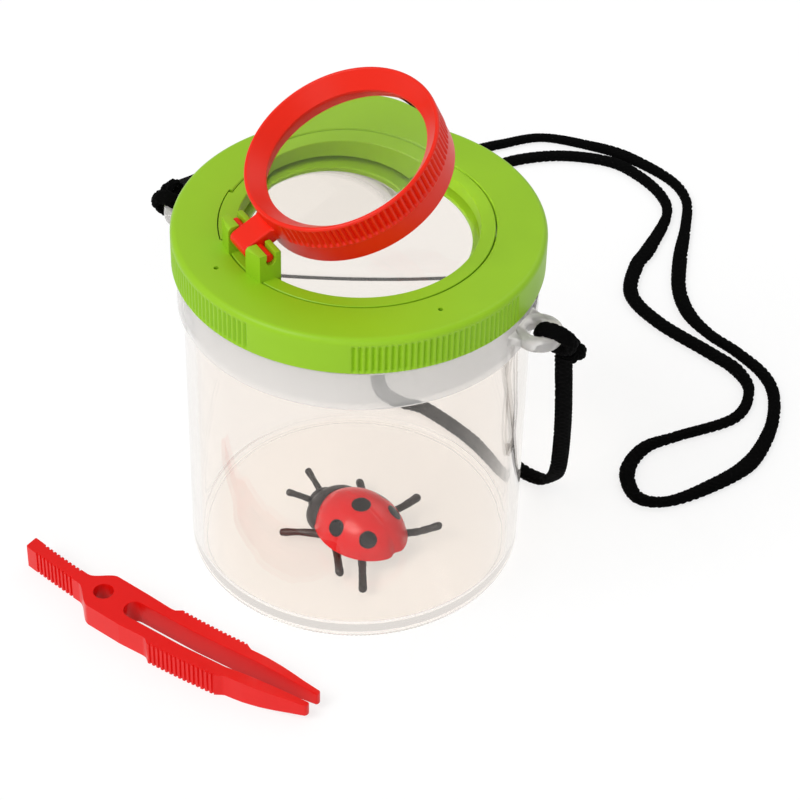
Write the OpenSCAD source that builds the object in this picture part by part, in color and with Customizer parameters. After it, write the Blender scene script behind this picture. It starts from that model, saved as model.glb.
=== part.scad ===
// Bug catcher jar: a clear cup with a screw lid, a fixed lens in the lid, a tilting magnifier,
// a neck cord on two ears, plastic tweezers and a toy ladybird. Lengths are in millimetres.
// The origin is the centre of the cup's base, +Z is up and +X runs through the right-hand ear.

/* [Cup] */
// Outer radius of the wall just under the collar
cup_r = 41.5; // [40:0.1:48]
// How much narrower the wall is at the base, as mould draft
cup_draft = 0.1; // [0.1:0.1:1.5]
// Height of the cup's rim
cup_h = 93.2; // [70:0.1:120]
// Wall thickness under the rim
cup_wall = 2.4; // [1.8:0.1:3]
// Floor thickness
floor_t = 2.5; // [1.5:0.1:4]
// Outer rounding at the foot
foot_round = 1.4; // [0.8:0.1:3]
// Rounding inside, between wall and floor
well_round = 2.4; // [0.5:0.1:3]
// How far the collar stands out from the wall
collar_step = 1.5; // [1:0.1:2.2]
// Height of the collar
collar_h = 11.2; // [8:0.1:14]
// Rounding of the collar's edges
collar_round = 0.7; // [0.2:0.1:0.8]
// Wall thickness of the threaded neck
neck_wall = 1.1; // [1:0.1:1.6]
// Height of the neck above the collar
neck_h = 7.4; // [7.2:0.1:10]

/* [Cord ears] */
// Distance from the collar to the middle of the ear's hole
ear_reach = 4.3; // [3.5:0.1:6]
// Radius of the ear's hole
ear_hole_r = 2.9; // [2.2:0.1:3]
// Width of the ring round the hole
ear_ring_w = 2.8; // [2.5:0.1:3.1]
// Thickness of the ear
ear_t = 3.8; // [3:0.1:4]
// Rounding of the ear's edges
ear_round = 1.2; // [0.5:0.1:1.2]
// Height of the ear's middle under the collar's top
ear_drop = 4.4; // [3:0.1:5.5]

/* [Screw thread] */
// Height gained in one turn of the lid
thread_lead = 9; // [8:0.1:10]
// How far a ridge stands out
thread_depth = 0.9; // [0.5:0.1:1]
// Width of a ridge at its root
thread_root_w = 1.8; // [1.4:0.1:2]
// Width of a ridge at its crest
thread_crest_w = 0.8; // [0.4:0.1:1]
// Radial gap between the cup's ridges and the lid
thread_gap = 0.4; // [0.2:0.1:0.6]

/* [Lid] */
// Thickness of the lid's skirt
lid_wall = 2.5; // [1.8:0.1:3]
// Thickness of the lid's top plate
lid_plate_t = 2.3; // [2:0.1:3]
// Rounding of the lid's upper edge
lid_round = 1.5; // [0.5:0.1:1.8]
// Gap between the cup's rim and the lid's top plate
rim_gap = 0.3; // [0.1:0.1:0.6]
// Gap between the collar and the lid's skirt
skirt_gap = 0.4; // [0.2:0.1:0.8]
// Depth of the grip grooves
grip_depth = 0.35; // [0.2:0.05:0.6]
// Radius of the air holes
air_hole_r = 0.6; // [0.4:0.1:1.2]
// Distance of the air holes from the middle
air_hole_reach = 37.2; // [35.5:0.1:38.5]
// Direction of the first air hole, seen from above
air_hole_az = 238; // [228:1:248]

/* [Fixed lens] */
// Outer radius of the fixed lens
lens_r = 31.8; // [31:0.1:32.5]
// Radius of its curved upper face
lens_curve_r = 27.5; // [26:0.1:28]
// Thickness of its flat rim
lens_rim_t = 2.6; // [2:0.1:3]
// Rise of its upper face
lens_top_sag = 1.6; // [1:0.1:2]
// Drop of its lower face
lens_low_sag = 1.6; // [1:0.1:4]
// Gap all round the lens and its retainer
lens_gap = 0.3; // [0.15:0.05:0.4]
// Gap above and below the lens rim
lens_seat_gap = 0.1; // [0.05:0.05:0.2]

/* [Lens seat and retainer] */
// Wall of the tube that the lens sits in
seat_wall = 1.8; // [1.2:0.1:2.4]
// Thickness of the ledge under the lens
ledge_t = 1.4; // [1:0.1:2]
// Width of the ledge under the lens
ledge_w = 5.7; // [3:0.1:6]
// Height of the retainer ring
retainer_h = 3; // [2.5:0.1:3.5]
// Width of the retainer ring at its foot
retainer_foot_w = 3.7; // [3.4:0.1:3.8]
// Width of the retainer ring at its top
retainer_top_w = 3.4; // [1.2:0.1:3.6]
// How far the retainer's locating lug stands out
lug_w = 0.9; // [0.5:0.1:1]
// Thickness of the lug
lug_t = 2; // [1:0.1:2.2]

/* [Magnifier] */
// Outer radius of the magnifier's frame
frame_r = 23.7; // [22.5:0.1:24]
// Outer radius at the frame's lower edge
frame_foot_r = 23.5; // [23.2:0.1:23.6]
// Height of the frame
frame_h = 12; // [11:0.1:12.2]
// Height of the frame's top above the hinge when it is shut
frame_rise = 6.5; // [6.3:0.1:7]
// Radius of the frame's opening
frame_bore_r = 19.6; // [18.5:0.1:19.8]
// Extra radius of the opening at the top edge
frame_flare = 3.1; // [0.4:0.1:3.2]
// Depth of the sloping part of the opening
frame_flare_h = 3.7; // [3:0.1:4]
// Height of the lip between the sloping part and the lens
frame_lip_h = 0.7; // [0.5:0.1:1]
// Radius of the opening under the lens
frame_low_bore_r = 21.7; // [21.6:0.1:22]
// Radius of the opening at the lower edge
frame_foot_bore_r = 22.4; // [22:0.1:22.5]
// How far the bead that holds the lens stands in
frame_bead_w = 0.4; // [0.2:0.1:0.6]
// Height of that bead
frame_bead_h = 1; // [0.8:0.1:1.5]
// Depth of the grooves round the frame
frame_grip_depth = 0.35; // [0.2:0.05:0.5]
// Height of the grooved band
frame_grip_h = 6.8; // [5:0.1:8]
// Radius of the magnifier's lens
glass_r = 21.5; // [20.5:0.1:21.5]
// Thickness of the lens at its edge
glass_edge_t = 2; // [1.5:0.1:2.2]
// Radius of the curve of its two faces
glass_curve_r = 200; // [120:10:400]
// Gap between the lens and its groove
glass_gap = 0.1; // [0.05:0.05:0.2]

/* [Hinge] */
// Direction of the hinge, seen from above
hinge_az = 239.3; // [229:0.1:249]
// Gap from the frame's rim to the hinge pin's middle
hinge_gap = 4.6; // [4.6:0.1:4.9]
// Height of the hinge pin's middle above the lid
hinge_rise = 5.2; // [5.1:0.1:5.6]
// How far the magnifier stands open
open_angle = 25; // [0:1:110]
// Radius of the hinge pin
pin_r = 1.15; // [0.9:0.05:1.2]
// Running gap round the pin
pin_gap = 0.05; // [0.03:0.01:0.08]
// Half the width of the tab that carries the pin
tab_half_w = 3.6; // [3:0.1:4.2]
// Gap between the tab and each post
tab_gap = 0.4; // [0.2:0.1:0.6]
// Thickness of each hinge post
post_t = 5; // [3.6:0.1:5.4]
// Height of the post's top above the pin's middle
post_rise = 2; // [1.6:0.1:2.2]

/* [Tweezers] */
// Length of the tweezers
tweezer_l = 87.7; // [80:0.1:100]
// Height of the tweezers as they lie
tweezer_h = 6.8; // [5:0.1:8]
// Height of the tweezers at the tips
tip_h = 3.4; // [2.5:0.1:4.5]
// Half the width of the handle
handle_half_w = 1.9; // [1.5:0.1:2.5]
// Half the width of the body
body_half_w = 6.1; // [5.8:0.1:6.8]
// Half the width across the grip pads
pad_half_w = 7; // [6.8:0.1:8]
// Half the width across the tips
tips_half_w = 3.1; // [3:0.1:3.6]
// Half the gap between the arms
slot_half_w = 2.65; // [2:0.05:2.7]
// Half the gap between the tips
tip_gap_half = 1.5; // [1:0.1:1.6]
// Radius of the hole in the body
tweezer_hole_r = 2.5; // [2:0.1:3]
// Sideways bow of the middle line
tweezer_bow = 3.4; // [2:0.1:4.5]
// Depth of the ribs on handle and pads
tweezer_rib = 0.4; // [0.2:0.05:0.6]
// Gap round the bending roots of the arms
root_gap = 0.1; // [0.05:0.05:0.2]

/* [Ladybird] */
// Half the length of the wing shell
shell_half_l = 12.9; // [10:0.1:13.5]
// Half the width of the wing shell
shell_half_w = 10.3; // [8:0.1:11]
// Height of the shell's full dome above its middle
shell_rise = 9.5; // [7:0.1:10]
// Height of the shell's edge above the floor
shell_edge_z = 3.2; // [3.2:0.1:4.5]
// Thickness of the belly under the shell
belly_t = 2; // [1.2:0.1:2.6]
// Radius of a leg at its foot
leg_r = 1.1; // [0.8:0.05:1.1]
// Radius of a feeler
feeler_r = 0.9; // [0.6:0.05:1.1]

/* [Neck cord] */
// Width of the flat braid
cord_w = 4.4; // [3.5:0.1:4.6]
// Thickness of the flat braid
cord_t = 2.4; // [1.8:0.1:2.5]
// Radius of the braid where it is pulled round an ear
loop_cord_r = 1.6; // [1.2:0.05:1.65]

/* [Hidden] */

// Overrun of cuts past a face, and of pieces into what they grow from
over = 0.5;
// Facets of round forms, and of the wide arcs of the lenses
round_sides = 120;
lens_sides = 720;

// Cup
collar_r = cup_r + collar_step;
collar_top_z = cup_h - neck_h;
collar_z = collar_top_z - collar_h;
base_r = cup_r - cup_draft;
cup_bore_r = cup_r - cup_wall;
floor_bore_r = base_r - cup_wall + 0.25 * cup_draft;
neck_r = cup_bore_r + neck_wall;
ear_x = collar_r + ear_reach;
ear_z = collar_top_z - ear_drop;
ear_r = ear_hole_r + ear_ring_w;
ear_web_t_share = 0.7;
ear_web_spread_share = 1.2;

// Screw thread
thread_starts = 2;
thread_pitch = thread_lead / thread_starts;
thread_margin = 0.3;
thread_step_angle = 5;
thread_taper_share = 0.12;
thread_sink = 0.3;
cup_thread_z = collar_top_z + thread_margin + thread_root_w / 2;
cup_thread_turn = 360 * (neck_h - thread_root_w - 2 * thread_margin) / thread_lead;
lid_thread_turn_share = 0.5;
lid_thread_shift = 98;

// Lid
lid_bore_r = neck_r + thread_depth + thread_gap;
lid_r = lid_bore_r + lid_wall;
lid_under_z = cup_h + rim_gap;
lid_top_z = lid_under_z + lid_plate_t;
skirt_z = collar_top_z + skirt_gap;
grip_sector = 58;
grip_starts = [-63.8, 26.2, 116.2, 206.2];
grip_count = 30;
grip_land_share = 0.35;
air_hole_turns = [0, 90, 270];

// Lens seat, fixed lens and retainer
seat_r = lens_r + lens_gap;
retainer_z = lid_top_z - retainer_h;
lens_top_z = retainer_z - lens_seat_gap;
lens_z = lens_top_z - lens_rim_t;
ledge_top_z = lens_z - lens_seat_gap;
ledge_r = seat_r - ledge_w;
retainer_r = seat_r - lens_gap;
lens_low_r = ledge_r - lens_gap;
lug_r = retainer_r + lug_w;
lug_end_w = 0.2;
notch_extra_angle = 0.6;

// Hinge
hinge_a = frame_r + hinge_gap;
hinge_z = lid_top_z + hinge_rise;
post_inner_y = tab_half_w + tab_gap;
post_outer_y = post_inner_y + post_t;
post_inner_w = 2.6;
post_outer_w = 4;
post_round = 0.8;
post_foot_rise = 1.1;
post_inset = 0.2;
slot_mouth_share = 0.9;
pin_half_l = post_outer_y - 0.18 * post_t;
lug_half_angle = asin((post_outer_y + lug_end_w) / retainer_r);
tab_tail = 3.8;
tab_top = 2.5;
tab_low = 1.6;
tab_round = 1.5;

// Magnifier
frame_low_z = frame_rise - frame_h;
frame_round = 0.6;
frame_band_step = 0.2;
frame_grip_count = 96;
frame_grip_free = 5;
glass_z = frame_rise - frame_flare_h - frame_lip_h - glass_gap - glass_edge_t / 2;
frame_bead_r = glass_r + glass_gap - frame_bead_w;
frame_bead_low_z = glass_z - glass_edge_t / 2 - glass_gap - frame_bead_h;

// Tweezers, measured along their length from the tail
tweezer_tail = [-63.6, -52.3];
tweezer_az = -6.9;
handle_l_share = 0.205;
handle_rib_l = 0.8 * 0.205 * tweezer_l;
neck_end_share = 0.262;
hole_x_share = 0.295;
body_x_share = 0.285;
root_x_share = 0.41;
pad_start_share = 0.515;
pad_step_share = 0.54;
pad_end_share = 0.747;
arm_thin_share = 0.765;
root_r = (body_half_w - slot_half_w) / 2;
root_x = root_x_share * tweezer_l;
root_y = slot_half_w + root_r;
arm_back = 0.35;
rib_pitch = 1.3;

// Ladybird, placed on the cup's floor with its head along its own +X
bug_place = [4.7, -5.7];
bug_turn = 162;
shell_mid_z = 3;
belly_share = 0.86;
head_gap = 0.1;
leg_gap = 0.1;

// Cord ends
loop_x = ear_x + ear_r - ear_ring_w / 2;
loop_r = 4.05;
loop_lean = 28;
knot_right = [ear_x + ear_r + 1.4, 4.5, ear_z - 5.6];
knot_left = [-ear_x - ear_r - 1.5, 5, ear_z + 0.4];
knot_r = 3.1;

// The cord's route from the right-hand knot to the left-hand knot. A point without a height lies on the table.
CORD_ROUTE = [
    [51.8, 5, 73], [48.9, 15, 45], [44, 26.5, 18], [39.5, 32.8, 7], [35, 35.6, 2.5], [27, 38.2], [13, 44.8],
    [-3.7, 49.5], [-11.5, 48.8], [-18.7, 50.5], [-23.5, 57.5], [-24, 68.5], [-17.8, 81], [-12.8, 96],
    [-14.2, 113.5], [-20.4, 129.3], [-30, 143.7], [-36.4, 154], [-35, 161.7], [-23.7, 171.6], [-9.3, 176.4],
    [1.6, 174.2], [12, 168], [17.4, 159.4], [19.3, 141.8], [19.5, 132.7], [23.9, 119.8], [35.7, 112.2],
    [52.8, 107.1], [62.6, 103.7], [69.2, 96.8], [69.9, 84.5], [59.3, 70], [53.7, 61.5], [53.6, 50.8],
    [59.7, 43.1], [67.3, 45.2], [74.7, 55.8], [80.4, 69.5], [80.1, 85.2], [76, 98], [69.8, 105.6],
    [59.6, 111], [50.2, 114.4], [41.5, 120], [34.5, 129.2], [28.7, 143.5], [24.3, 157.6], [19.2, 169.8],
    [10.3, 177.2], [-6, 181.6], [-17.8, 181.2], [-32.4, 177.7], [-42.1, 167.9], [-50, 159], [-64, 151],
    [-80, 143], [-104, 118, 3], [-86, 62, 38], [-57, 7, 80]
];
cord_ring_step = 15;
table_gap = 0.1;

function unit(v) = v / norm(v);

function first_index(i) = max(i, 0);

function last_index(list, i) = min(i, len(list) - 1);

function heading(points, i) = unit(points[last_index(points, i + 1)] - points[first_index(i - 1)]);

// A point of the smooth curve through four neighbours, a share t of the way between the middle two
function curve_point(a, b, c, d, t) =
    0.5 * (2 * b + (c - a) * t + (2 * a - 5 * b + 4 * c - d) * t * t + (3 * b - a - 3 * c + d) * t * t * t);

// Points along the cord, which never sinks into the table
function cord_points() =
    let (low_z = cord_t / 2 + table_gap)
    let (route = [for (p = CORD_ROUTE) [p[0], p[1], len(p) > 2 ? p[2] : low_z]])
    let (curve = [for (i = [0 : len(route) - 2])
        let (steps = ceil(norm(route[i + 1] - route[i]) / cord_ring_step))
        for (k = [0 : steps - 1])
            curve_point(
                route[first_index(i - 1)], route[i], route[i + 1], route[last_index(route, i + 2)], k / steps
            )])
    [for (p = concat(curve, [route[len(route) - 1]])) [p[0], p[1], max(p[2], low_z)]];

// One ring of a swept tube, wide across its path and seen from above
function ring(points, half_sizes, sides, i) =
    let (ahead = heading(points, i))
    let (side = unit(cross(ahead, [0, 0, 1])))
    let (rise = cross(side, ahead))
    let (size = half_sizes[i])
    [for (k = [0 : sides - 1])
        points[i] + size[0] * cos(360 * k / sides) * side + size[1] * sin(360 * k / sides) * rise];

// Triangles that join rings of equal size into a closed tube
function tube_faces(rings, sides) = concat(
    [for (k = [1 : sides - 2]) [0, k + 1, k]],
    [for (i = [0 : rings - 2]) for (k = [0 : sides - 1])
        [i * sides + k, i * sides + (k + 1) % sides, (i + 1) * sides + k]],
    [for (i = [0 : rings - 2]) for (k = [0 : sides - 1])
        [(i + 1) * sides + k, i * sides + (k + 1) % sides, (i + 1) * sides + (k + 1) % sides]],
    [for (k = [1 : sides - 2]) [(rings - 1) * sides, (rings - 1) * sides + k, (rings - 1) * sides + k + 1]]
);

module tube(points, half_sizes, sides) {
    rings = [for (i = [0 : len(points) - 1]) each ring(points, half_sizes, sides, i)];
    polyhedron(rings, tube_faces(len(points), sides));
}

// A rectangle with round corners, from the origin
module round_box(w, h, r) {
    translate([r, 0]) square([w - 2 * r, h]);
    translate([0, r]) square([w, h - 2 * r]);
    for (x = [r, w - r], y = [r, h - r]) translate([x, y]) circle(r, $fn = round_sides / 3);
}

// One helical ridge, from its root radius to its crest radius
function ridge_ring(root_r, crest_r, size, a, z) =
    let (tip_r = root_r + (crest_r - root_r) * size)
    let (sink_r = root_r - thread_sink * sign(crest_r - root_r))
    let (root = thread_root_w / 2)
    let (crest = (thread_crest_w + (thread_root_w - thread_crest_w) * (1 - size)) / 2)
    [for (c = [[sink_r, -root], [tip_r, -crest], [tip_r, crest], [sink_r, root]])
        [c[0] * cos(a), c[0] * sin(a), z + c[1]]];

module ridge(root_r, crest_r, start, turn, z) {
    steps = ceil(turn / thread_step_angle);
    rings = [for (i = [0 : steps])
        let (along = i / steps)
        let (size = max(0.1, min(1, along / thread_taper_share, (1 - along) / thread_taper_share)))
        each ridge_ring(root_r, crest_r, size, start + turn * along, z + thread_lead * turn * along / 360)];
    faces = tube_faces(steps + 1, 4);
    outward = crest_r > root_r;
    polyhedron(rings, outward ? faces : [for (f = faces) [f[2], f[1], f[0]]]);
}

// A row of V grooves that are cut into a round wall
module groove_comb(r, depth, start, sector, count, land_share) {
    pitch = sector / count;
    zigzag = [for (i = [0 : count - 1]) for (c = [[land_share / 2, over / 10], [0.5, -depth], [1 - land_share / 2, over / 10]])
        let (a = start + (i + c[0]) * pitch)
        (r + c[1]) * [cos(a), sin(a)]];
    outside = [for (i = [count : -1 : 0])
        let (a = start + i * pitch)
        (r + 2 * over) * [cos(a), sin(a)]];
    polygon(concat(zigzag, outside));
}

// Clear cup
module cup_outline() {
    polygon([
        [0, 0], [base_r - foot_round, 0], [base_r, foot_round], [cup_r, collar_z + over],
        [cup_r, collar_top_z - over], [neck_r, collar_top_z - over], [neck_r, cup_h], [0, cup_h]
    ]);
    translate([base_r - foot_round, foot_round]) circle(foot_round, $fn = round_sides);
    translate([cup_r - cup_wall / 2, collar_z]) round_box(collar_step + cup_wall / 2, collar_h, collar_round);
}

module cup_hollow() {
    polygon([
        [0, floor_t], [floor_bore_r - well_round, floor_t], [floor_bore_r, floor_t + well_round],
        [cup_bore_r, cup_h], [cup_bore_r, cup_h + over], [0, cup_h + over]
    ]);
    translate([floor_bore_r - well_round, floor_t + well_round]) circle(well_round, $fn = round_sides);
}

module ear() {
    translate([ear_x, 0, ear_z]) {
        rotate_extrude($fn = round_sides)
            translate([ear_hole_r, -ear_t / 2]) round_box(ear_ring_w, ear_t, ear_round);
        translate([0, 0, -ear_t * ear_web_t_share / 2]) linear_extrude(ear_t * ear_web_t_share) difference() {
            polygon([
                [0, -ear_r + over], [0, ear_r - over],
                [-ear_reach - cup_wall / 2, ear_r * ear_web_spread_share],
                [-ear_reach - cup_wall / 2, -ear_r * ear_web_spread_share]
            ]);
            circle(ear_hole_r + over, $fn = round_sides);
        }
    }
}

module jar_cup() {
    color([0.86, 0.88, 0.9, 0.4]) {
        rotate_extrude($fn = round_sides * 2) difference() {
            cup_outline();
            cup_hollow();
        }
        ear();
        mirror([1, 0, 0]) ear();
        for (i = [0 : thread_starts - 1])
            ridge(neck_r, neck_r + thread_depth, i * 360 / thread_starts, cup_thread_turn, cup_thread_z);
    }
}

// Green screw lid
module lid_outline() {
    difference() {
        union() {
            translate([0, skirt_z]) square([lid_r, lid_top_z - lid_round - skirt_z]);
            translate([0, skirt_z]) square([lid_r - lid_round, lid_top_z - skirt_z]);
            translate([lid_r - lid_round, lid_top_z - lid_round]) circle(lid_round, $fn = round_sides);
        }
        translate([0, skirt_z - over]) square([lid_bore_r, lid_under_z - skirt_z + over]);
        translate([0, skirt_z]) square([seat_r, lid_top_z - skirt_z + over]);
    }
    translate([seat_r, ledge_top_z - ledge_t]) square([seat_wall, lid_under_z + over - ledge_top_z + ledge_t]);
    translate([ledge_r, ledge_top_z - ledge_t]) square([seat_r + seat_wall - ledge_r, ledge_t]);
}

module lug_sector(inner_r, outer_r, half_angle, h) {
    rotate([0, 0, hinge_az - half_angle])
        translate([0, 0, lid_top_z - h])
            rotate_extrude(angle = 2 * half_angle, $fn = round_sides)
                translate([inner_r, 0]) square([outer_r - inner_r, h]);
}

module lid_cap() {
    color("yellowgreen") difference() {
        union() {
            rotate_extrude($fn = round_sides * 2) lid_outline();
            for (i = [0 : thread_starts - 1])
                ridge(
                    lid_bore_r, lid_bore_r - thread_depth, lid_thread_shift + i * 360 / thread_starts,
                    cup_thread_turn * lid_thread_turn_share,
                    cup_thread_z + thread_lead * lid_thread_shift / 360 - thread_pitch / 2
                );
        }
        for (start = grip_starts)
            translate([0, 0, skirt_z - over])
                linear_extrude(lid_top_z - lid_round - skirt_z + over)
                    groove_comb(lid_r, grip_depth, start, grip_sector, grip_count, grip_land_share);
        for (turn = air_hole_turns) rotate([0, 0, air_hole_az + turn])
            translate([air_hole_reach, 0, lid_under_z - over])
                cylinder(h = lid_plate_t + 2 * over, r = air_hole_r, $fn = round_sides / 4);
        translate([0, 0, over]) lug_sector(
            seat_r - over, lug_r + lens_gap, lug_half_angle + notch_extra_angle, lug_t + lens_seat_gap + over
        );
    }
}

// Clear lens with a flat rim, fixed in the lid
module fixed_lens() {
    top_curve = (lens_curve_r * lens_curve_r + lens_top_sag * lens_top_sag) / (2 * lens_top_sag);
    low_curve = (lens_low_r * lens_low_r + lens_low_sag * lens_low_sag) / (2 * lens_low_sag);
    color([0.9, 0.94, 0.96, 0.35]) translate([0, 0, lens_z]) rotate_extrude($fn = lens_sides / 3) {
        square([lens_r, lens_rim_t]);
        intersection() {
            translate([0, lens_rim_t / 2]) square([lens_curve_r, lens_top_sag + lens_rim_t]);
            translate([0, lens_rim_t + lens_top_sag - top_curve]) circle(top_curve, $fn = lens_sides * 2);
        }
        intersection() {
            translate([0, -lens_low_sag - over]) square([lens_low_r, lens_low_sag + over + lens_rim_t / 2]);
            translate([0, low_curve - lens_low_sag]) circle(low_curve, $fn = lens_sides);
        }
    }
}

// Green ring that holds the lens down, with the two posts of the hinge
module post_side() {
    difference() {
        union() {
            translate([hinge_a - post_inner_w, hinge_z - post_outer_w])
                round_box(post_inner_w + post_outer_w, post_outer_w + post_rise, post_round);
            translate([hinge_a - post_inner_w, retainer_z + post_foot_rise])
                square([post_inner_w + post_outer_w, hinge_z - post_outer_w + post_round - retainer_z - post_foot_rise]);
        }
        translate([hinge_a - slot_mouth_share * pin_r, hinge_z])
            square([2 * slot_mouth_share * pin_r, post_rise + over]);
    }
}

module post() {
    rotate([90, 0, 0]) linear_extrude(post_t) post_side();
}

module lens_retainer() {
    color("yellowgreen") difference() {
        union() {
            rotate_extrude($fn = round_sides * 2) polygon([
                [retainer_r - retainer_foot_w, retainer_z], [retainer_r, retainer_z],
                [retainer_r, lid_top_z], [retainer_r - retainer_top_w, lid_top_z]
            ]);
            lug_sector(retainer_r - retainer_top_w / 2, lug_r, lug_half_angle, lug_t);
            intersection() {
                rotate([0, 0, hinge_az]) {
                    translate([0, -post_inner_y, 0]) post();
                    translate([0, post_outer_y, 0]) post();
                }
                translate([0, 0, retainer_z]) cylinder(h = hinge_z, r = lug_r - post_inset, $fn = round_sides * 2);
            }
        }
        rotate([0, 0, hinge_az]) translate([hinge_a, post_outer_y + over, hinge_z]) rotate([90, 0, 0])
            cylinder(h = 2 * (post_outer_y + over), r = pin_r + pin_gap, $fn = round_sides / 2);
    }
}

// Places a piece of the magnifier at the hinge, with its own +X towards the middle of the lid
module at_hinge() {
    rotate([0, 0, hinge_az + 180])
        translate([-hinge_a, 0, hinge_z])
            rotate([0, -open_angle, 0]) children();
}

module frame_outline() {
    grip_z = frame_rise - frame_grip_h;
    difference() {
        union() {
            polygon([
                [frame_bore_r - over, frame_low_z], [frame_foot_r, frame_low_z],
                [frame_r - frame_band_step, grip_z], [frame_r - frame_band_step, frame_rise - frame_round],
                [frame_bore_r - over, frame_rise - frame_round]
            ]);
            translate([frame_bore_r, grip_z]) round_box(frame_r - frame_bore_r, frame_grip_h, frame_round);
        }
        polygon([
            [0, frame_low_z - over], [frame_foot_bore_r, frame_low_z - over], [frame_foot_bore_r, frame_low_z],
            [frame_low_bore_r, frame_bead_low_z],
            [frame_bead_r, frame_bead_low_z + frame_low_bore_r - frame_bead_r], [frame_bead_r, glass_z],
            [frame_bore_r, glass_z], [frame_bore_r, frame_rise - frame_flare_h],
            [frame_bore_r + frame_flare, frame_rise], [frame_bore_r + frame_flare, frame_rise + over],
            [0, frame_rise + over]
        ]);
        translate([0, glass_z - glass_edge_t / 2 - glass_gap])
            square([glass_r + glass_gap, glass_edge_t + 2 * glass_gap]);
    }
}

module magnifier_frame() {
    free_angle = frame_grip_free * 360 / frame_grip_count;
    color("red") at_hinge() {
        difference() {
            translate([hinge_a, 0, 0]) rotate_extrude($fn = round_sides * 2) frame_outline();
            translate([hinge_a, 0, frame_rise - frame_grip_h + frame_round])
                linear_extrude(frame_grip_h - 2 * frame_round)
                    groove_comb(
                        frame_r, frame_grip_depth, 180 + free_angle, 360 - 2 * free_angle,
                        frame_grip_count - 2 * frame_grip_free, grip_land_share
                    );
        }
        translate([0, tab_half_w, 0]) rotate([90, 0, 0]) linear_extrude(2 * tab_half_w)
            translate([-tab_tail, -tab_low])
                round_box(tab_tail + hinge_gap + frame_round + tab_round, tab_low + tab_top, tab_round);
        translate([0, pin_half_l, 0]) rotate([90, 0, 0])
            cylinder(h = 2 * pin_half_l, r = pin_r, $fn = round_sides / 2);
    }
}

module magnifier_lens() {
    color([0.9, 0.94, 0.96, 0.35]) at_hinge() translate([hinge_a, 0, glass_z]) rotate_extrude($fn = lens_sides / 3) {
        translate([0, -glass_edge_t / 2]) square([glass_r, glass_edge_t]);
        for (s = [-1, 1]) let (edge_r = s > 0 ? frame_bore_r : frame_bead_r) intersection() {
            translate([0, s > 0 ? 0 : -glass_curve_r]) square([edge_r - glass_gap, glass_curve_r]);
            translate([0, s * (glass_edge_t / 2 - sqrt(glass_curve_r * glass_curve_r - edge_r * edge_r))])
                circle(glass_curve_r, $fn = lens_sides);
        }
    }
}

// Tweezers
function bow(x) = -tweezer_bow * 4 * (x / tweezer_l) * (1 - x / tweezer_l);

function bowed(points) = [for (p = points) [p[0], p[1] + bow(p[0])]];

// Ribs along an edge, as a zigzag from one point to another
function rib_line(from, to) =
    let (count = floor(norm(to - from) / rib_pitch))
    [for (i = [0 : count - 1]) for (c = [[0, 0], [0.35, 0], [0.5, 1], [0.85, 1]])
        from + (to - from) * (i + c[0]) / count - [0, sign(from[1]) * tweezer_rib * c[1]]];

module at_tweezers() {
    translate(tweezer_tail) rotate([0, 0, tweezer_az]) children();
}

module root_knuckle(extra) {
    for (s = [-1, 1]) translate([root_x, s * root_y + bow(root_x), -over])
        cylinder(h = tweezer_h + 2 * over, r = root_r + extra, $fn = round_sides / 2);
}

module tweezer_handle() {
    neck_x = handle_l_share * tweezer_l;
    edge = [
        [neck_x + over, handle_half_w * 0.9],
        [neck_end_share * tweezer_l, handle_half_w],
        [body_x_share * tweezer_l, body_half_w], [root_x, body_half_w]
    ];
    upper = concat([[0, handle_half_w]], rib_line([over, handle_half_w], [neck_x, handle_half_w]), edge);
    lower = [for (i = [len(upper) - 1 : -1 : 0]) [upper[i][0], -upper[i][1]]];
    color("red") at_tweezers() difference() {
        linear_extrude(tweezer_h) polygon(bowed(concat(upper, lower)));
        translate([hole_x_share * tweezer_l, bow(hole_x_share * tweezer_l), -over])
            cylinder(h = tweezer_h + 2 * over, r = tweezer_hole_r, $fn = round_sides / 2);
        translate([root_x, bow(root_x), -over])
            cylinder(h = tweezer_h + 2 * over, r = slot_half_w, $fn = round_sides / 2);
        root_knuckle(root_gap);
    }
}

// One arm, which bends about its root
module tweezer_arm(s) {
    outer = concat(
        [[root_x + arm_back, body_half_w], [pad_start_share * tweezer_l, body_half_w * 0.93]],
        rib_line([pad_step_share * tweezer_l, pad_half_w], [pad_end_share * tweezer_l, pad_half_w * 0.94]),
        [
            [arm_thin_share * tweezer_l, body_half_w * 0.88], [0.87 * tweezer_l, body_half_w * 0.8],
            [0.945 * tweezer_l, body_half_w * 0.64], [tweezer_l - over, tips_half_w], [tweezer_l, tips_half_w - over]
        ]
    );
    inner = [
        [tweezer_l, tip_gap_half], [pad_end_share * tweezer_l, slot_half_w],
        [root_x + arm_back, slot_half_w], [root_x, root_y]
    ];
    taper_x = 0.8 * tweezer_l;
    tip_low = (tweezer_h - tip_h) / 2;
    points = [for (p = concat(outer, inner)) [p[0], s * p[1]]];
    color("red") at_tweezers() {
        intersection() {
            linear_extrude(tweezer_h) polygon(bowed(points));
            translate([0, 2 * pad_half_w + tweezer_bow, 0]) rotate([90, 0, 0])
                linear_extrude(4 * pad_half_w + 2 * tweezer_bow) polygon([
                    [0, 0], [taper_x, 0], [tweezer_l + over, tip_low],
                    [tweezer_l + over, tweezer_h - tip_low], [taper_x, tweezer_h], [0, tweezer_h]
                ]);
        }
        translate([root_x, s * root_y + bow(root_x), 0])
            cylinder(h = tweezer_h, r = root_r, $fn = round_sides / 2);
    }
}

module tweezer_arm_left() {
    tweezer_arm(1);
}

module tweezer_arm_right() {
    tweezer_arm(-1);
}

// Toy ladybird
module at_bug() {
    translate([bug_place[0], bug_place[1], floor_t]) rotate([0, 0, bug_turn]) children();
}

module egg(half_l, half_w, rise, sides) {
    scale([half_l, half_w, rise]) sphere(1, $fn = sides);
}

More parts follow.
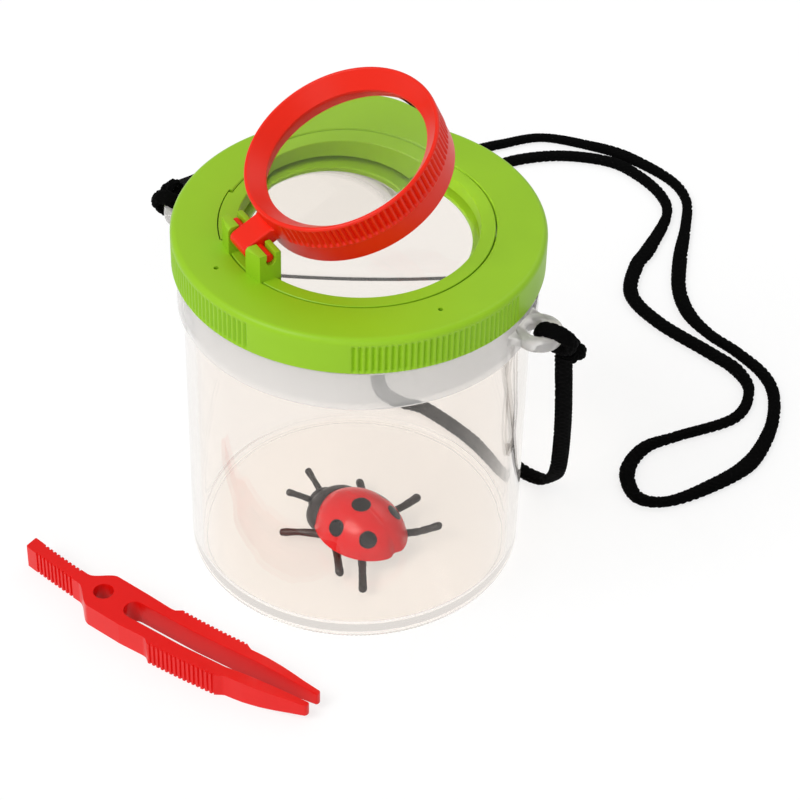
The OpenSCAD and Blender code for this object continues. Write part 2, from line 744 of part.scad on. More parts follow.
module above(z) {
    translate([-2 * shell_half_l, -2 * shell_half_l, z]) cube(4 * shell_half_l);
}

module bug_shell() {
    color("crimson") at_bug() intersection() {
        translate([0, 0, shell_mid_z]) egg(shell_half_l, shell_half_w, shell_rise, 36);
        above(shell_edge_z);
    }
}

module bug_belly() {
    belly_low_share = 0.8;
    color([0.15, 0.12, 0.12]) at_bug() hull() {
        translate([0, 0, shell_edge_z - belly_t / 2])
            scale([belly_share * shell_half_l, belly_share * shell_half_w, belly_t / 2])
                cylinder(h = 1, r = 1, $fn = 30);
        translate([0, 0, shell_edge_z - belly_t])
            scale([belly_low_share * shell_half_l, belly_low_share * shell_half_w, belly_t / 4])
                cylinder(h = 1, r = 1, $fn = 30);
    }
}

module bug_head() {
    collar_x_share = 0.74;
    head_x_share = 1.08;
    color([0.15, 0.12, 0.12]) at_bug() difference() {
        union() {
            translate([collar_x_share * shell_half_l, 0, shell_edge_z])
                egg(0.47 * shell_half_l, 0.8 * shell_half_w, 0.58 * shell_rise, 24);
            translate([head_x_share * shell_half_l, 0, shell_edge_z])
                egg(0.26 * shell_half_l, 0.42 * shell_half_w, 0.34 * shell_rise, 20);
        }
        intersection() {
            translate([0, 0, shell_mid_z])
                egg(shell_half_l + head_gap, shell_half_w + head_gap, shell_rise + head_gap, 36);
            above(shell_edge_z - head_gap);
        }
        translate([-2 * shell_half_l, -2 * shell_half_l, -4 * shell_half_l + shell_edge_z - belly_t])
            cube(4 * shell_half_l);
    }
}

// A leg runs level from the belly past the shell's edge, then to its ankle and foot
module leg(hip, foot, foot_z) {
    knee = hip + (foot - hip) * knee_share;
    ankle = hip + (foot - hip) * ankle_share;
    hip_z = shell_edge_z - leg_r - leg_gap;
    color([0.2, 0.16, 0.16]) at_bug() tube(
        [
            [hip[0], hip[1], hip_z], [knee[0], knee[1], hip_z],
            [ankle[0], ankle[1], (hip_z + foot_z) / 2], [foot[0], foot[1], foot_z],
            [foot_end_share * foot[0], foot_end_share * foot[1], foot_z]
        ],
        [[leg_r, leg_r], [leg_r, leg_r], [leg_r, leg_r], [leg_r, leg_r], [leg_r / 2, leg_r / 2]], 8
    );
}

// Places of the hips and feet as shares of the shell's half length and half width
hip_shares = [[0.35, 0.66], [0.08, 0.74], [-0.43, 0.46]];
left_foot_shares = [[1.07, 1.34], [-0.52, 1.3], [-1.13, 1.26]];
right_foot_shares = [[1.11, -1.29], [-0.14, -1.77], [-1, -1.44]];
knee_share = 0.5;
ankle_share = 0.8;
foot_end_share = 1.05;

// The two rear feet on the right are bent up off the floor
right_feet_z = [leg_r, 3.2 * leg_r, 3.2 * leg_r];

function from_shares(share) = [share[0] * shell_half_l, share[1] * shell_half_w];

module left_leg(i) {
    leg(from_shares(hip_shares[i]), from_shares(left_foot_shares[i]), leg_r);
}

module right_leg(i) {
    leg(from_shares([hip_shares[i][0], -hip_shares[i][1]]), from_shares(right_foot_shares[i]), right_feet_z[i]);
}

module leg_front_left() {
    left_leg(0);
}

module leg_middle_left() {
    left_leg(1);
}

module leg_rear_left() {
    left_leg(2);
}

module leg_front_right() {
    right_leg(0);
}

module leg_middle_right() {
    right_leg(1);
}

module leg_rear_right() {
    right_leg(2);
}

module feeler(root_share, tip_share) {
    root = from_shares(root_share);
    tip = from_shares(tip_share);
    root_z = shell_edge_z + 0.16 * shell_rise;
    tip_z = shell_mid_z + 0.4 * shell_rise;
    color([0.2, 0.16, 0.16]) at_bug() tube(
        [
            [root[0], root[1], root_z], [(root[0] + tip[0]) / 2, (root[1] + tip[1]) / 2, tip_z - feeler_r],
            [tip[0], tip[1], tip_z]
        ],
        [[feeler_r, feeler_r], [feeler_r, feeler_r], [0.7 * feeler_r, 0.7 * feeler_r]], 8
    );
}

module feeler_left() {
    feeler([1.17, 0.31], [1.55, 0.71]);
}

module feeler_right() {
    feeler([1.22, -0.07], [1.77, -0.23]);
}

// Neck cord
module neck_cord() {
    points = cord_points();
    color([0.05, 0.05, 0.05]) tube(points, [for (p = points) [cord_w / 2, cord_t / 2]], 10);
}

module cord_loop() {
    color([0.05, 0.05, 0.05]) translate([loop_x, 0, ear_z]) rotate([90 + loop_lean, 0, 0])
        rotate_extrude($fn = round_sides / 2) translate([loop_r, 0]) circle(loop_cord_r, $fn = 24);
}

module cord_loop_right() {
    cord_loop();
}

module cord_loop_left() {
    mirror([1, 0, 0]) cord_loop();
}

module knot(place) {
    color([0.05, 0.05, 0.05]) translate(place) {
        sphere(knot_r, $fn = 24);
        translate([0, 0, knot_r / 2]) sphere(knot_r * 0.85, $fn = 24);
    }
}

module cord_knot_right() {
    knot(knot_right);
}

module cord_knot_left() {
    knot(knot_left);
}

jar_cup();
lid_cap();
fixed_lens();
lens_retainer();
magnifier_frame();
magnifier_lens();
tweezer_handle();
tweezer_arm_left();
tweezer_arm_right();
bug_shell();
bug_belly();
bug_head();
feeler_left();
feeler_right();
leg_front_left();
leg_middle_left();
leg_rear_left();
leg_front_right();
leg_middle_right();
leg_rear_right();
neck_cord();
cord_loop_right();
cord_loop_left();
cord_knot_right();
cord_knot_left();
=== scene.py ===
"""Looks of a bug catcher jar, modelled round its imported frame. Lengths are in metres."""

import math
from contextlib import contextmanager

import bmesh
import bpy
import numpy as np
from bpy.props import FloatProperty, FloatVectorProperty, PointerProperty
from bpy.types import Operator, Panel, PropertyGroup
from mathutils import Matrix, Vector


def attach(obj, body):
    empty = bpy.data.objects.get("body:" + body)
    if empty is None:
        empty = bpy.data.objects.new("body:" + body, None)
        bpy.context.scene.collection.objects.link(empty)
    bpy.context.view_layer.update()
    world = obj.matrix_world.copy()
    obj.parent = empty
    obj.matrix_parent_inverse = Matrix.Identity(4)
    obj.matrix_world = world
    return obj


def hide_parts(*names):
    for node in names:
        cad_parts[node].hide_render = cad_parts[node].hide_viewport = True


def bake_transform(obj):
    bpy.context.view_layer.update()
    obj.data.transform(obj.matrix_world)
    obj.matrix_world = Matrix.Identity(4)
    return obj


bl_info = {
    "name": "Bug Catcher Jar",
    "version": (1, 0, 0),
    "blender": (4, 5, 0),
    "location": "View3D > Sidebar > Bug Jar",
    "description": "Models a clear insect jar with its lid, lenses, cord, tweezers and ladybird",
    "category": "Add Mesh",
}

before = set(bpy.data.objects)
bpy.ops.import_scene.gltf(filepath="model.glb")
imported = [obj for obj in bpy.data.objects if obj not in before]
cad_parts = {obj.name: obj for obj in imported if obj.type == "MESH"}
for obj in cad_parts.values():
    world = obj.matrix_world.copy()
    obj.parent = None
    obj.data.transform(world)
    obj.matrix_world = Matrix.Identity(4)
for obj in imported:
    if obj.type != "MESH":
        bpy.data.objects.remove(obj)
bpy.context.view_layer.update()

MM = 0.001
TURN = 2 * math.pi
UP = Vector((0, 0, 1))


# Property helpers


def length(name, description, millimetres):
    """A length property with its default given in millimetres."""
    return FloatProperty(
        name=name, description=description, default=millimetres * MM, unit="LENGTH", precision=5
    )


def angle(name, description, degrees):
    """An angle property with its default given in degrees."""
    return FloatProperty(
        name=name, description=description, default=math.radians(degrees), unit="ROTATION"
    )


def linear(hex_colour):
    """The linear colour of an sRGB hex value, with full alpha."""
    parts = [int(hex_colour[i : i + 2], 16) / 255 for i in (1, 3, 5)]
    return [p / 12.92 if p <= 0.04045 else ((p + 0.055) / 1.055) ** 2.4 for p in parts] + [1.0]


def tint(name, description, hex_colour):
    """A colour property with its default given as an sRGB hex value."""
    return FloatVectorProperty(
        name=name, description=description, subtype="COLOR", size=4, min=0, max=1,
        default=linear(hex_colour),
    )


# Settings


class CupSettings(PropertyGroup):
    """Sizes and tint of the clear cup"""

    wall_radius: length("Wall radius", "Outer radius of the wall under the collar", 41.5)
    draft: length("Draft", "How much narrower the wall is at the base", 0.1)
    height: length("Height", "Height of the rim", 93.2)
    wall: length("Wall", "Thickness of the wall under the rim", 2.4)
    floor: length("Floor", "Thickness of the floor", 2.5)
    foot_round: length("Foot rounding", "Outer rounding at the foot", 1.4)
    foot_width: length("Foot width", "Width of the flat ring that the cup stands on", 1.2)
    foot_hollow: length("Foot hollow", "Depth of the hollow under the floor", 0.5)
    foot_lift: length("Foot lift", "Film of air under the foot, which keeps it off the table", 0.05)
    well_round: length("Well rounding", "Inner rounding between wall and floor", 2.4)
    collar_step: length("Collar step", "How far the collar stands out", 1.5)
    collar_height: length("Collar height", "Height of the collar", 11.2)
    collar_round: length("Collar rounding", "Rounding of the collar's edges", 0.7)
    neck_wall: length("Neck wall", "Thickness of the threaded neck", 1.1)
    neck_height: length("Neck height", "Height of the neck above the collar", 7.4)
    ear_reach: length("Ear reach", "Distance from the collar to the ear's hole", 4.3)
    ear_hole: length("Ear hole", "Radius of the ear's hole", 2.9)
    ear_ring: length("Ear ring", "Width of the ring round the hole", 2.8)
    ear_thickness: length("Ear thickness", "Thickness of the ear", 3.8)
    ear_round: length("Ear rounding", "Rounding of the ear's ring", 1.2)
    ear_drop: length("Ear drop", "Height of the ear's middle under the collar's top", 4.4)
    tick_depth: length("Tick depth", "Depth of the fine ticks round the foot", 0.12)
    plastic: tint("Plastic", "Tint of the clear polystyrene", "#FAF6F2")


class ThreadSettings(PropertyGroup):
    """Sizes of the screw thread"""

    lead: length("Lead", "Height gained in one turn", 9)
    depth: length("Depth", "How far a ridge stands out", 0.9)
    root_width: length("Root width", "Width of a ridge at its root", 1.8)
    crest_width: length("Crest width", "Width of a ridge at its crest", 0.8)
    gap: length("Gap", "Radial gap between the ridges and the lid", 0.4)
    cup_turn: angle("Cup turn", "Angle that each ridge of the cup covers", 200)
    lid_turn: angle("Lid turn", "Angle that each ridge of the lid covers", 100)
    lid_start: angle("Lid start", "Direction where the lid's ridges start", 98)


class LidSettings(PropertyGroup):
    """Sizes and colour of the screw lid and its retainer ring"""

    wall: length("Wall", "Thickness of the skirt", 2.5)
    plate: length("Plate", "Thickness of the top plate", 2.3)
    rim_gap: length("Rim gap", "Gap between the cup's rim and the plate", 0.3)
    skirt_gap: length("Skirt gap", "Gap between the collar and the skirt", 0.4)
    top_round: length("Top rounding", "Rounding of the upper edge", 1.5)
    grip_depth: length("Grip depth", "Depth of the grip grooves", 0.6)
    grip_start: angle("Grip start", "Direction where the first grip starts", -63.8)
    air_hole: length("Air hole", "Radius of the air holes", 0.6)
    air_hole_turn: angle("Air hole turn", "Direction of the first air hole", 238)
    air_hole_reach: length("Air hole reach", "Distance of the air holes from the middle", 37.2)
    seat_wall: length("Seat wall", "Wall of the tube that the lens sits in", 1.8)
    ledge: length("Ledge", "Thickness of the ledge under the lens", 1.4)
    ledge_width: length("Ledge width", "Width of the ledge under the lens", 5.7)
    retainer_height: length("Retainer height", "Height of the retainer ring", 3)
    retainer_foot: length("Retainer foot", "Width of the retainer at its foot", 3.7)
    retainer_top: length("Retainer top", "Width of the retainer at its top", 3.4)
    lug_reach: length("Lug reach", "How far the retainer's lug stands out", 0.9)
    lug: length("Lug", "Thickness of the retainer's lug", 2)
    plastic: tint("Plastic", "Colour of the green polypropylene", "#96C81E")


class LensSettings(PropertyGroup):
    """Sizes and tint of the two lenses"""

    radius: length("Radius", "Radius of the fixed lens", 31.8)
    rim: length("Rim", "Thickness of its flat rim", 2.6)
    curve_radius: length("Curve radius", "Radius of its curved upper face", 27.5)
    top_sag: length("Top sag", "Rise of its upper face", 1.6)
    low_sag: length("Low sag", "Drop of its lower face", 1.6)
    gap: length("Gap", "Gap all round the lens", 0.3)
    seat_gap: length("Seat gap", "Gap above and below the rim", 0.1)
    glass_radius: length("Glass radius", "Radius of the magnifier's lens", 21.5)
    glass_edge: length("Glass edge", "Thickness of the magnifier's lens at its edge", 2)
    glass_curve: length("Glass curve", "Radius of the curve of its faces", 200)
    plastic: tint("Plastic", "Tint of the clear acrylic", "#FBF9F6")


class MagnifierSettings(PropertyGroup):
    """Sizes and colour of the magnifier's frame and hinge"""

    radius: length("Radius", "Outer radius of the frame", 23.7)
    foot_radius: length("Foot radius", "Outer radius at the lower edge", 23.5)
    height: length("Height", "Height of the frame", 12)
    rise: length("Rise", "Height of the top above the hinge when shut", 6.5)
    bore: length("Bore", "Radius of the opening", 19.6)
    flare: length("Flare", "Extra radius of the opening at the top", 3.1)
    flare_height: length("Flare height", "Depth of the sloping part", 3.7)
    lens_lip: length("Lens lip", "Height of the lip between the slope and the lens", 0.7)
    low_bore: length("Low bore", "Radius of the opening under the lens", 21.7)
    foot_bore: length("Foot bore", "Radius of the opening at the lower edge", 22.4)
    bead: length("Bead", "How far the bead that holds the lens stands in", 0.4)
    bead_height: length("Bead height", "Height of that bead", 1)
    grip_height: length("Grip height", "Height of the grooved band", 6.8)
    grip_depth: length("Grip depth", "Depth of the grooves", 0.75)
    band_step: length("Band step", "Step under the grooved band", 0.2)
    hinge_direction: angle("Hinge direction", "Direction of the hinge from above", 239.3)
    hinge_gap: length("Hinge gap", "Gap from the frame's rim to the pin's middle", 4.6)
    hinge_rise: length("Hinge rise", "Height of the pin's middle above the lid", 5.2)
    open_angle: angle("Open angle", "How far the magnifier stands open", 25)
    pin: length("Pin", "Radius of the hinge pin", 1.15)
    pin_half: length("Pin half length", "Half the length of the hinge pin", 8.1)
    tab_half: length("Tab half width", "Half the width of the tab", 3.6)
    tab_top: length("Tab top", "Height of the tab's top above the pin's middle", 2.5)
    tab_gap: length("Tab gap", "Gap between the tab and each post", 0.4)
    post: length("Post", "Thickness of each hinge post", 5)
    post_rise: length("Post rise", "Height of the post above the pin's middle", 2)
    plastic: tint("Plastic", "Colour of the red polypropylene", "#EE2206")


class TweezersSettings(PropertyGroup):
    """Sizes and colour of the tweezers"""

    length: length("Length", "Length of the tweezers", 87.7)
    height: length("Height", "Height of the tweezers as they lie", 6.8)
    tip_height: length("Tip height", "Height at the tips", 3.4)
    handle_half: length("Handle half width", "Half the width of the handle", 1.9)
    body_half: length("Body half width", "Half the width of the body", 6.1)
    pad_half: length("Pad half width", "Half the width across the grip pads", 7)
    slot_half: length("Slot half width", "Half the gap between the arms", 2.65)
    tips_half: length("Tips half width", "Half the width across the tips", 3.1)
    tip_gap_half: length("Tip gap half", "Half the gap between the tips", 1.5)
    hole: length("Hole", "Radius of the hole in the body", 2.5)
    bow: length("Bow", "Sideways bow of the middle line", 3.4)
    rib: length("Rib", "Depth of the ribs", 0.5)
    rib_pitch: length("Rib pitch", "Distance from rib to rib", 1.3)
    tail_x: length("Tail X", "Place of the tail along X", -63.6)
    tail_y: length("Tail Y", "Place of the tail along Y", -52.3)
    direction: angle("Direction", "Direction in which the tweezers lie", -6.9)
    plastic: tint("Plastic", "Colour of the red polystyrene", "#EA100B")


class LadybirdSettings(PropertyGroup):
    """Sizes and colours of the toy ladybird"""

    half_length: length("Half length", "Half the length of the wing shell", 12.9)
    half_width: length("Half width", "Half the width of the wing shell", 10.3)
    rise: length("Rise", "Height of the shell's dome above its middle", 9.5)
    middle: length("Middle", "Height of the dome's middle above the floor", 3)
    edge: length("Edge", "Height of the shell's edge above the floor", 3.2)
    belly: length("Belly", "Thickness of the belly", 2)
    leg: length("Leg", "Radius of a leg", 1.1)
    feeler: length("Feeler", "Radius of a feeler", 0.9)
    place_x: length("Place X", "Place of the ladybird along X", 4.7)
    place_y: length("Place Y", "Place of the ladybird along Y", -5.7)
    direction: angle("Direction", "Direction in which the head points", 162)
    shell: tint("Shell", "Colour of the glossy shell", "#E00A10")
    spots: tint("Spots", "Colour of the painted spots", "#191415")
    vinyl: tint("Vinyl", "Colour of the dark soft vinyl", "#2B2423")


class CordSettings(PropertyGroup):
    """Sizes and colour of the neck cord"""

    width: length("Width", "Width of the flat braid", 4.4)
    thickness: length("Thickness", "Thickness of the flat braid", 2.4)
    length: length("Length", "Length of the cord from knot to knot", 936)
    relief: length("Relief", "Depth between the plaits of the braid", 0.45)
    plait: length("Plait", "Distance from plait to plait", 2.0)
    knot: length("Knot", "Radius of a knot", 3.1)
    loop: length("Loop", "Radius of the loop round an ear", 4.05)
    loop_lean: angle("Loop lean", "How far a loop leans over the ear", 28)
    yarn: tint("Yarn", "Colour of the polyester yarn", "#030303")


class StageSettings(PropertyGroup):
    """Camera, floor and lamps"""

    lens: FloatProperty(
        name="Lens", description="Focal length on a 36 mm sensor", default=116.24, unit="CAMERA"
    )
    roll: angle("Roll", "Turn of the camera about its line of sight", 1.65)
    floor_size: length("Floor size", "Side of the pale floor", 8000)
    floor_colour: tint("Floor", "Colour of the pale floor", "#FFFFFF")


GROUPS = {
    "cup": CupSettings,
    "thread": ThreadSettings,
    "lid": LidSettings,
    "lens": LensSettings,
    "magnifier": MagnifierSettings,
    "tweezers": TweezersSettings,
    "ladybird": LadybirdSettings,
    "cord": CordSettings,
    "stage": StageSettings,
}


class JarSettings(PropertyGroup):
    """All settings of the bug catcher jar"""

    __annotations__ = {name: PointerProperty(type=group) for name, group in GROUPS.items()}


def settings():
    """The settings that the sidebar shows."""
    return bpy.context.scene.bug_jar


# Modelling helpers


def let_go():
    """Leave edit mode and deselect all, because an operator acts on all that is selected."""
    if bpy.context.object and bpy.context.object.mode != "OBJECT":
        bpy.ops.object.mode_set(mode="OBJECT")
    bpy.ops.object.select_all(action="DESELECT")


def focus(piece):
    """Select one piece only."""
    let_go()
    piece.select_set(True)
    bpy.context.view_layer.objects.active = piece


@contextmanager
def editing(piece, chosen=None):
    """Edit mode on one piece, with all of it selected or only the chosen vertices."""
    focus(piece)
    bpy.ops.object.mode_set(mode="EDIT")
    bpy.ops.mesh.select_mode(type="VERT")
    bpy.ops.mesh.select_all(action="SELECT" if chosen is None else "DESELECT")
    if chosen is not None:
        bpy.ops.object.mode_set(mode="OBJECT")
        piece.data.vertices.foreach_set("select", chosen)
        bpy.ops.object.mode_set(mode="EDIT")
    yield
    bpy.ops.object.mode_set(mode="OBJECT")


def places(piece):
    """The places of a piece's vertices, one row each."""
    found = np.empty(3 * len(piece.data.vertices))
    piece.data.vertices.foreach_get("co", found)
    return found.reshape(-1, 3)


def move_to(piece, rows):
    """Put a piece's vertices at new places."""
    piece.data.vertices.foreach_set("co", np.asarray(rows, float).ravel())
    piece.data.update()


def mesh_piece(name, points, edges=(), faces=()):
    """A new object from points and the edges or faces between them."""
    mesh = bpy.data.meshes.new(name)
    mesh.from_pydata([tuple(p) for p in points], list(edges), list(faces))
    piece = bpy.data.objects.new(name, mesh)
    bpy.context.scene.collection.objects.link(piece)
    return piece


def wire(name, points, closed):
    """A line of points, which spin, screw or extrude turns into a surface."""
    edges = [(i, i + 1) for i in range(len(points) - 1)]
    return mesh_piece(name, points, edges + [(len(points) - 1, 0)] * closed)


# Vertices closer together than this are merged
MERGE_DISTANCE = 0.002 * MM


def tidy_mesh(piece, fill=False):
    """Merge doubles, close open ends if asked, and point the faces outwards."""
    with editing(piece):
        bpy.ops.mesh.remove_doubles(threshold=MERGE_DISTANCE)
        if fill:
            bpy.ops.mesh.select_all(action="SELECT")
            bpy.ops.mesh.fill_holes(sides=0)
            bpy.ops.mesh.select_all(action="SELECT")
        bpy.ops.mesh.normals_make_consistent(inside=False)


def apply_modifier(piece, kind, **values):
    """Add a modifier, set it and apply it."""
    focus(piece)
    modifier = piece.modifiers.new(kind.title(), kind)
    for name, value in values.items():
        setattr(modifier, name, value)
    bpy.ops.object.modifier_apply(modifier=modifier.name)


def combine(piece, tool, operation):
    """Unite, cut or intersect a closed body with another, which is used up."""
    apply_modifier(piece, "BOOLEAN", object=tool, operation=operation, solver="MANIFOLD")
    bpy.data.objects.remove(tool)


def place(piece, matrix):
    """Move a piece and put its place into its mesh."""
    focus(piece)
    piece.matrix_world = matrix
    bpy.ops.object.transform_apply(location=True, rotation=True, scale=True)


def copy_of(piece, name):
    """A copy of a piece with a mesh of its own."""
    copy = piece.copy()
    copy.data = piece.data.copy()
    copy.name = name
    bpy.context.scene.collection.objects.link(copy)
    return copy


def arc(x, y, radius, first, last, steps=6):
    """Points of a round stretch of an outline, with its angles in degrees."""
    turns = [math.radians(first + (last - first) * i / steps) for i in range(steps + 1)]
    return [(x + radius * math.cos(a), y + radius * math.sin(a)) for a in turns]


def lathe(name, outline, columns, closed=True, first=0.0, turn=TURN):
    """Spin an outline of (radius, height) points round the Z axis."""
    line = [(r * math.cos(first), r * math.sin(first), z) for r, z in outline]
    piece = wire(name, line, closed)
    with editing(piece):
        bpy.ops.mesh.spin(steps=columns, angle=turn, center=(0, 0, 0), axis=(0, 0, 1))
    tidy_mesh(piece, fill=turn < TURN)
    return piece


def slab(name, outline, low, high):
    """Extrude a flat outline of (x, y) points from one height to another."""
    piece = mesh_piece(name, [(x, y, low) for x, y in outline], faces=[tuple(range(len(outline)))])
    with editing(piece):
        bpy.ops.mesh.extrude_region_move(TRANSFORM_OT_translate={"value": (0, 0, high - low)})
        bpy.ops.mesh.select_all(action="SELECT")
        bpy.ops.mesh.normals_make_consistent(inside=False)
    return piece


def rod(name, radius, low, high, sides):
    """A closed cylinder round the Z axis, which cuts a hole or a limit."""
    return lathe(name, [(0, low), (radius, low), (radius, high), (0, high)], sides, closed=False)


def soften(piece, width, segments, limit):
    """Round the edges sharper than a limit in degrees."""
    apply_modifier(
        piece, "BEVEL", width=width, segments=segments, limit_method="ANGLE",
        angle_limit=math.radians(limit), use_clamp_overlap=True,
    )


def pinch(piece, chosen, share):
    """Draw the chosen vertices towards the Z axis, by a share of their distance from it."""
    with editing(piece, chosen):
        bpy.ops.transform.resize(value=(1 - share, 1 - share, 1), center_override=(0, 0, 0))


# Columns of a ribbed band from one groove to the next
COLUMNS_PER_RIB = 6


def ribbed(piece, first, step, start, ribs, depth, radius, rows):
    """Press grooves into the columns of a lathe-turned band, each rounded like a cosine."""
    points = places(piece)
    turns = np.arctan2(points[:, 1], points[:, 0]) - first
    column = np.mod(np.rint(turns / step).astype(int) - start, round(TURN / step))
    outer = np.hypot(points[:, 0], points[:, 1]) > radius - 0.2 * MM
    for low, high, size in rows:
        band = outer & (points[:, 2] > low) & (points[:, 2] < high)
        band &= column < ribs * COLUMNS_PER_RIB
        for phase in range(1, COLUMNS_PER_RIB // 2 + 1):
            share = size * ((1 - math.cos(TURN * phase / COLUMNS_PER_RIB)) / 2) ** 1.6
            alike = np.isin(np.mod(column, COLUMNS_PER_RIB), [phase, COLUMNS_PER_RIB - phase])
            pinch(piece, band & alike, share * depth / radius)


def finish_piece(piece, body, material, node, smooth):
    """Shade a piece, give it its material, tie it to its body, and hide its CAD node."""
    focus(piece)
    bpy.ops.object.shade_smooth_by_angle(angle=math.radians(smooth))
    apply_modifier(piece, "WEIGHTED_NORMAL", keep_sharp=True, weight=80)
    piece.data.materials.clear()
    piece.data.materials.append(material)
    if body:
        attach(piece, body)
    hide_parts(node)


def row_unit(rows):
    """Rows scaled to length one."""
    return rows / np.linalg.norm(rows, axis=1, keepdims=True)


def sweep(name, path, wide, half_w, half_t, sides, closed=False, relief=None, flatness=1.0):
    """A tube along a path. wide gives the direction of its width, and relief moves its skin."""
    path = np.asarray(path, float)
    count = len(path)
    if closed:
        ahead = row_unit(np.roll(path, -1, 0) - np.roll(path, 1, 0))
    else:
        ahead = row_unit(np.gradient(path, axis=0))
    wide = row_unit(wide - ahead * np.sum(wide * ahead, 1, keepdims=True))
    rise = np.cross(wide, ahead)
    turns = np.arange(sides) * TURN / sides
    flat = [np.sign(f(turns)) * np.abs(f(turns)) ** flatness for f in (np.cos, np.sin)]
    half_w = np.broadcast_to(half_w, count)
    half_t = np.broadcast_to(half_t, count)
    off = (
        half_w[:, None, None] * flat[0][None, :, None] * wide[:, None]
        + half_t[:, None, None] * flat[1][None, :, None] * rise[:, None]
    )
    if relief is not None:
        reach = np.linalg.norm(off, axis=2, keepdims=True)
        off = off * (1 + relief[:, :, None] / np.maximum(reach, 0.05 * MM))
    points = (path[:, None] + off).reshape(-1, 3)
    spans = range(count if closed else count - 1)
    faces = [
        (
            i * sides + k,
            i * sides + (k + 1) % sides,
            (i + 1) % count * sides + (k + 1) % sides,
            (i + 1) % count * sides + k,
        )
        for i in spans
        for k in range(sides)
    ]
    if not closed:
        faces += [tuple(range(sides))[::-1], tuple(range((count - 1) * sides, count * sides))]
    piece = mesh_piece(name, points, faces=faces)
    with editing(piece):
        bpy.ops.mesh.normals_make_consistent(inside=False)
    return piece


def smooth_path(points, step):
    """Points a step apart along the smooth curve through the given ones, as the CAD cord runs."""
    points = [np.array(p, float) for p in points]
    line = []
    for i in range(len(points) - 1):
        a = points[max(i - 1, 0)]
        b = points[i]
        c = points[i + 1]
        d = points[min(i + 2, len(points) - 1)]
        parts = max(2, math.ceil(np.linalg.norm(c - b) / step))
        for t in np.arange(parts) / parts:
            line.append(
                0.5
                * (
                    2 * b
                    + (c - a) * t
                    + (2 * a - 5 * b + 4 * c - d) * t**2
                    + (3 * b - a - 3 * c + d) * t**3
                )
            )
    return np.array(line + [points[-1]])


# Materials

# A Mix node's two colour inputs and its colour output
MIX_A, MIX_B, MIX_RESULT = 6, 7, 2


def new_material(name):
    """An empty node material."""
    material = bpy.data.materials.new(name)
    material.use_nodes = True
    material.node_tree.nodes.clear()
    return material


def add(owner, kind, inputs=None, out=0, **values):
    """Add a node with its settings, values and links to a material or world, and give an output."""
    tree = owner.node_tree
    node = tree.nodes.new(kind)
    for name, value in values.items():
        setattr(node, name, value)
    for key, value in (inputs or {}).items():
        if isinstance(value, bpy.types.NodeSocket):
            tree.links.new(value, node.inputs[key])
        else:
            node.inputs[key].default_value = value
    return node.outputs[out] if node.outputs else None


def relit(colour, share):
    """A colour with its light scaled by a share."""
    return [c * share for c in colour[:3]] + [1.0]


def moulded_plastic(name, colour, roughness):
    """Injection-moulded polypropylene from a spark-eroded tool.

    The eye gets an even satin face, a soft gloss that breaks up slightly, and faint flow shades.
    """
    plastic = new_material(name)
    at = add(plastic, "ShaderNodeTexCoord", out="Object")
    flow = add(plastic, "ShaderNodeTexNoise", {"Vector": at, "Scale": 1 / (12 * MM), "Detail": 2.0})
    fine = add(
        plastic, "ShaderNodeTexNoise", {"Vector": at, "Scale": 1 / (0.4 * MM), "Detail": 3.0}
    )
    dent = add(plastic, "ShaderNodeBump", {"Height": fine, "Strength": 0.25, "Distance": 0.02 * MM})
    sink = add(
        plastic, "ShaderNodeBump",
        {"Height": flow, "Strength": 0.3, "Distance": 0.05 * MM, "Normal": dent},
    )
    shade = add(
        plastic, "ShaderNodeMix",
        {"Factor": flow, MIX_A: relit(colour, 0.95), MIX_B: relit(colour, 1.04)},
        out=MIX_RESULT, data_type="RGBA",
    )
    gloss = add(
        plastic, "ShaderNodeMapRange",
        {"Value": fine, "To Min": roughness - 0.05, "To Max": roughness + 0.06},
    )
    shader = add(
        plastic, "ShaderNodeBsdfPrincipled",
        {
            "Base Color": shade, "Roughness": gloss, "IOR": 1.49, "Specular IOR Level": 0.3,
            "Normal": sink,
        },
    )
    add(plastic, "ShaderNodeOutputMaterial", {"Surface": shader})
    return plastic


# A ray thrown back more often than this is lost in the plastic, and the plastic then glows with
# this painted light, a stand-in for the white surround that the ray would reach
LOST_AFTER = 2.5
LOST_RAY_PAINTED_GLOW = 0.8
# Clear plastics show their surround less strongly than bare glass does
CLEAR_GLOSS = [0.45, 0.45, 0.45, 1.0]
# Colour and clearness of the milky collar
MILK_COLOUR = "#E9E7E5"
MILK_CLEARNESS = 0.6


def clear_surface(plastic, shader, colour):
    """Let the lamps' rays reach what is behind a clear plastic, and paint a glow where rays are
    lost in it.
    """
    clear = add(plastic, "ShaderNodeBsdfTransparent", {"Color": colour})
    # Painted glow: for rays lost in the plastic it emits light, standing in for the surround that
    # they would reach
    glow = add(plastic, "ShaderNodeEmission", {"Color": colour, "Strength": LOST_RAY_PAINTED_GLOW})
    thrown = add(plastic, "ShaderNodeLightPath", out="Glossy Depth")
    lost = add(plastic, "ShaderNodeMath", {0: thrown, 1: LOST_AFTER}, operation="GREATER_THAN")
    seen = add(plastic, "ShaderNodeMixShader", {0: lost, 1: shader, 2: glow})
    to_lamp = add(plastic, "ShaderNodeLightPath", out="Is Shadow Ray")
    surface = add(plastic, "ShaderNodeMixShader", {0: to_lamp, 1: seen, 2: clear})
    add(plastic, "ShaderNodeOutputMaterial", {"Surface": surface})
    plastic.cycles.emission_sampling = "NONE"
    return plastic


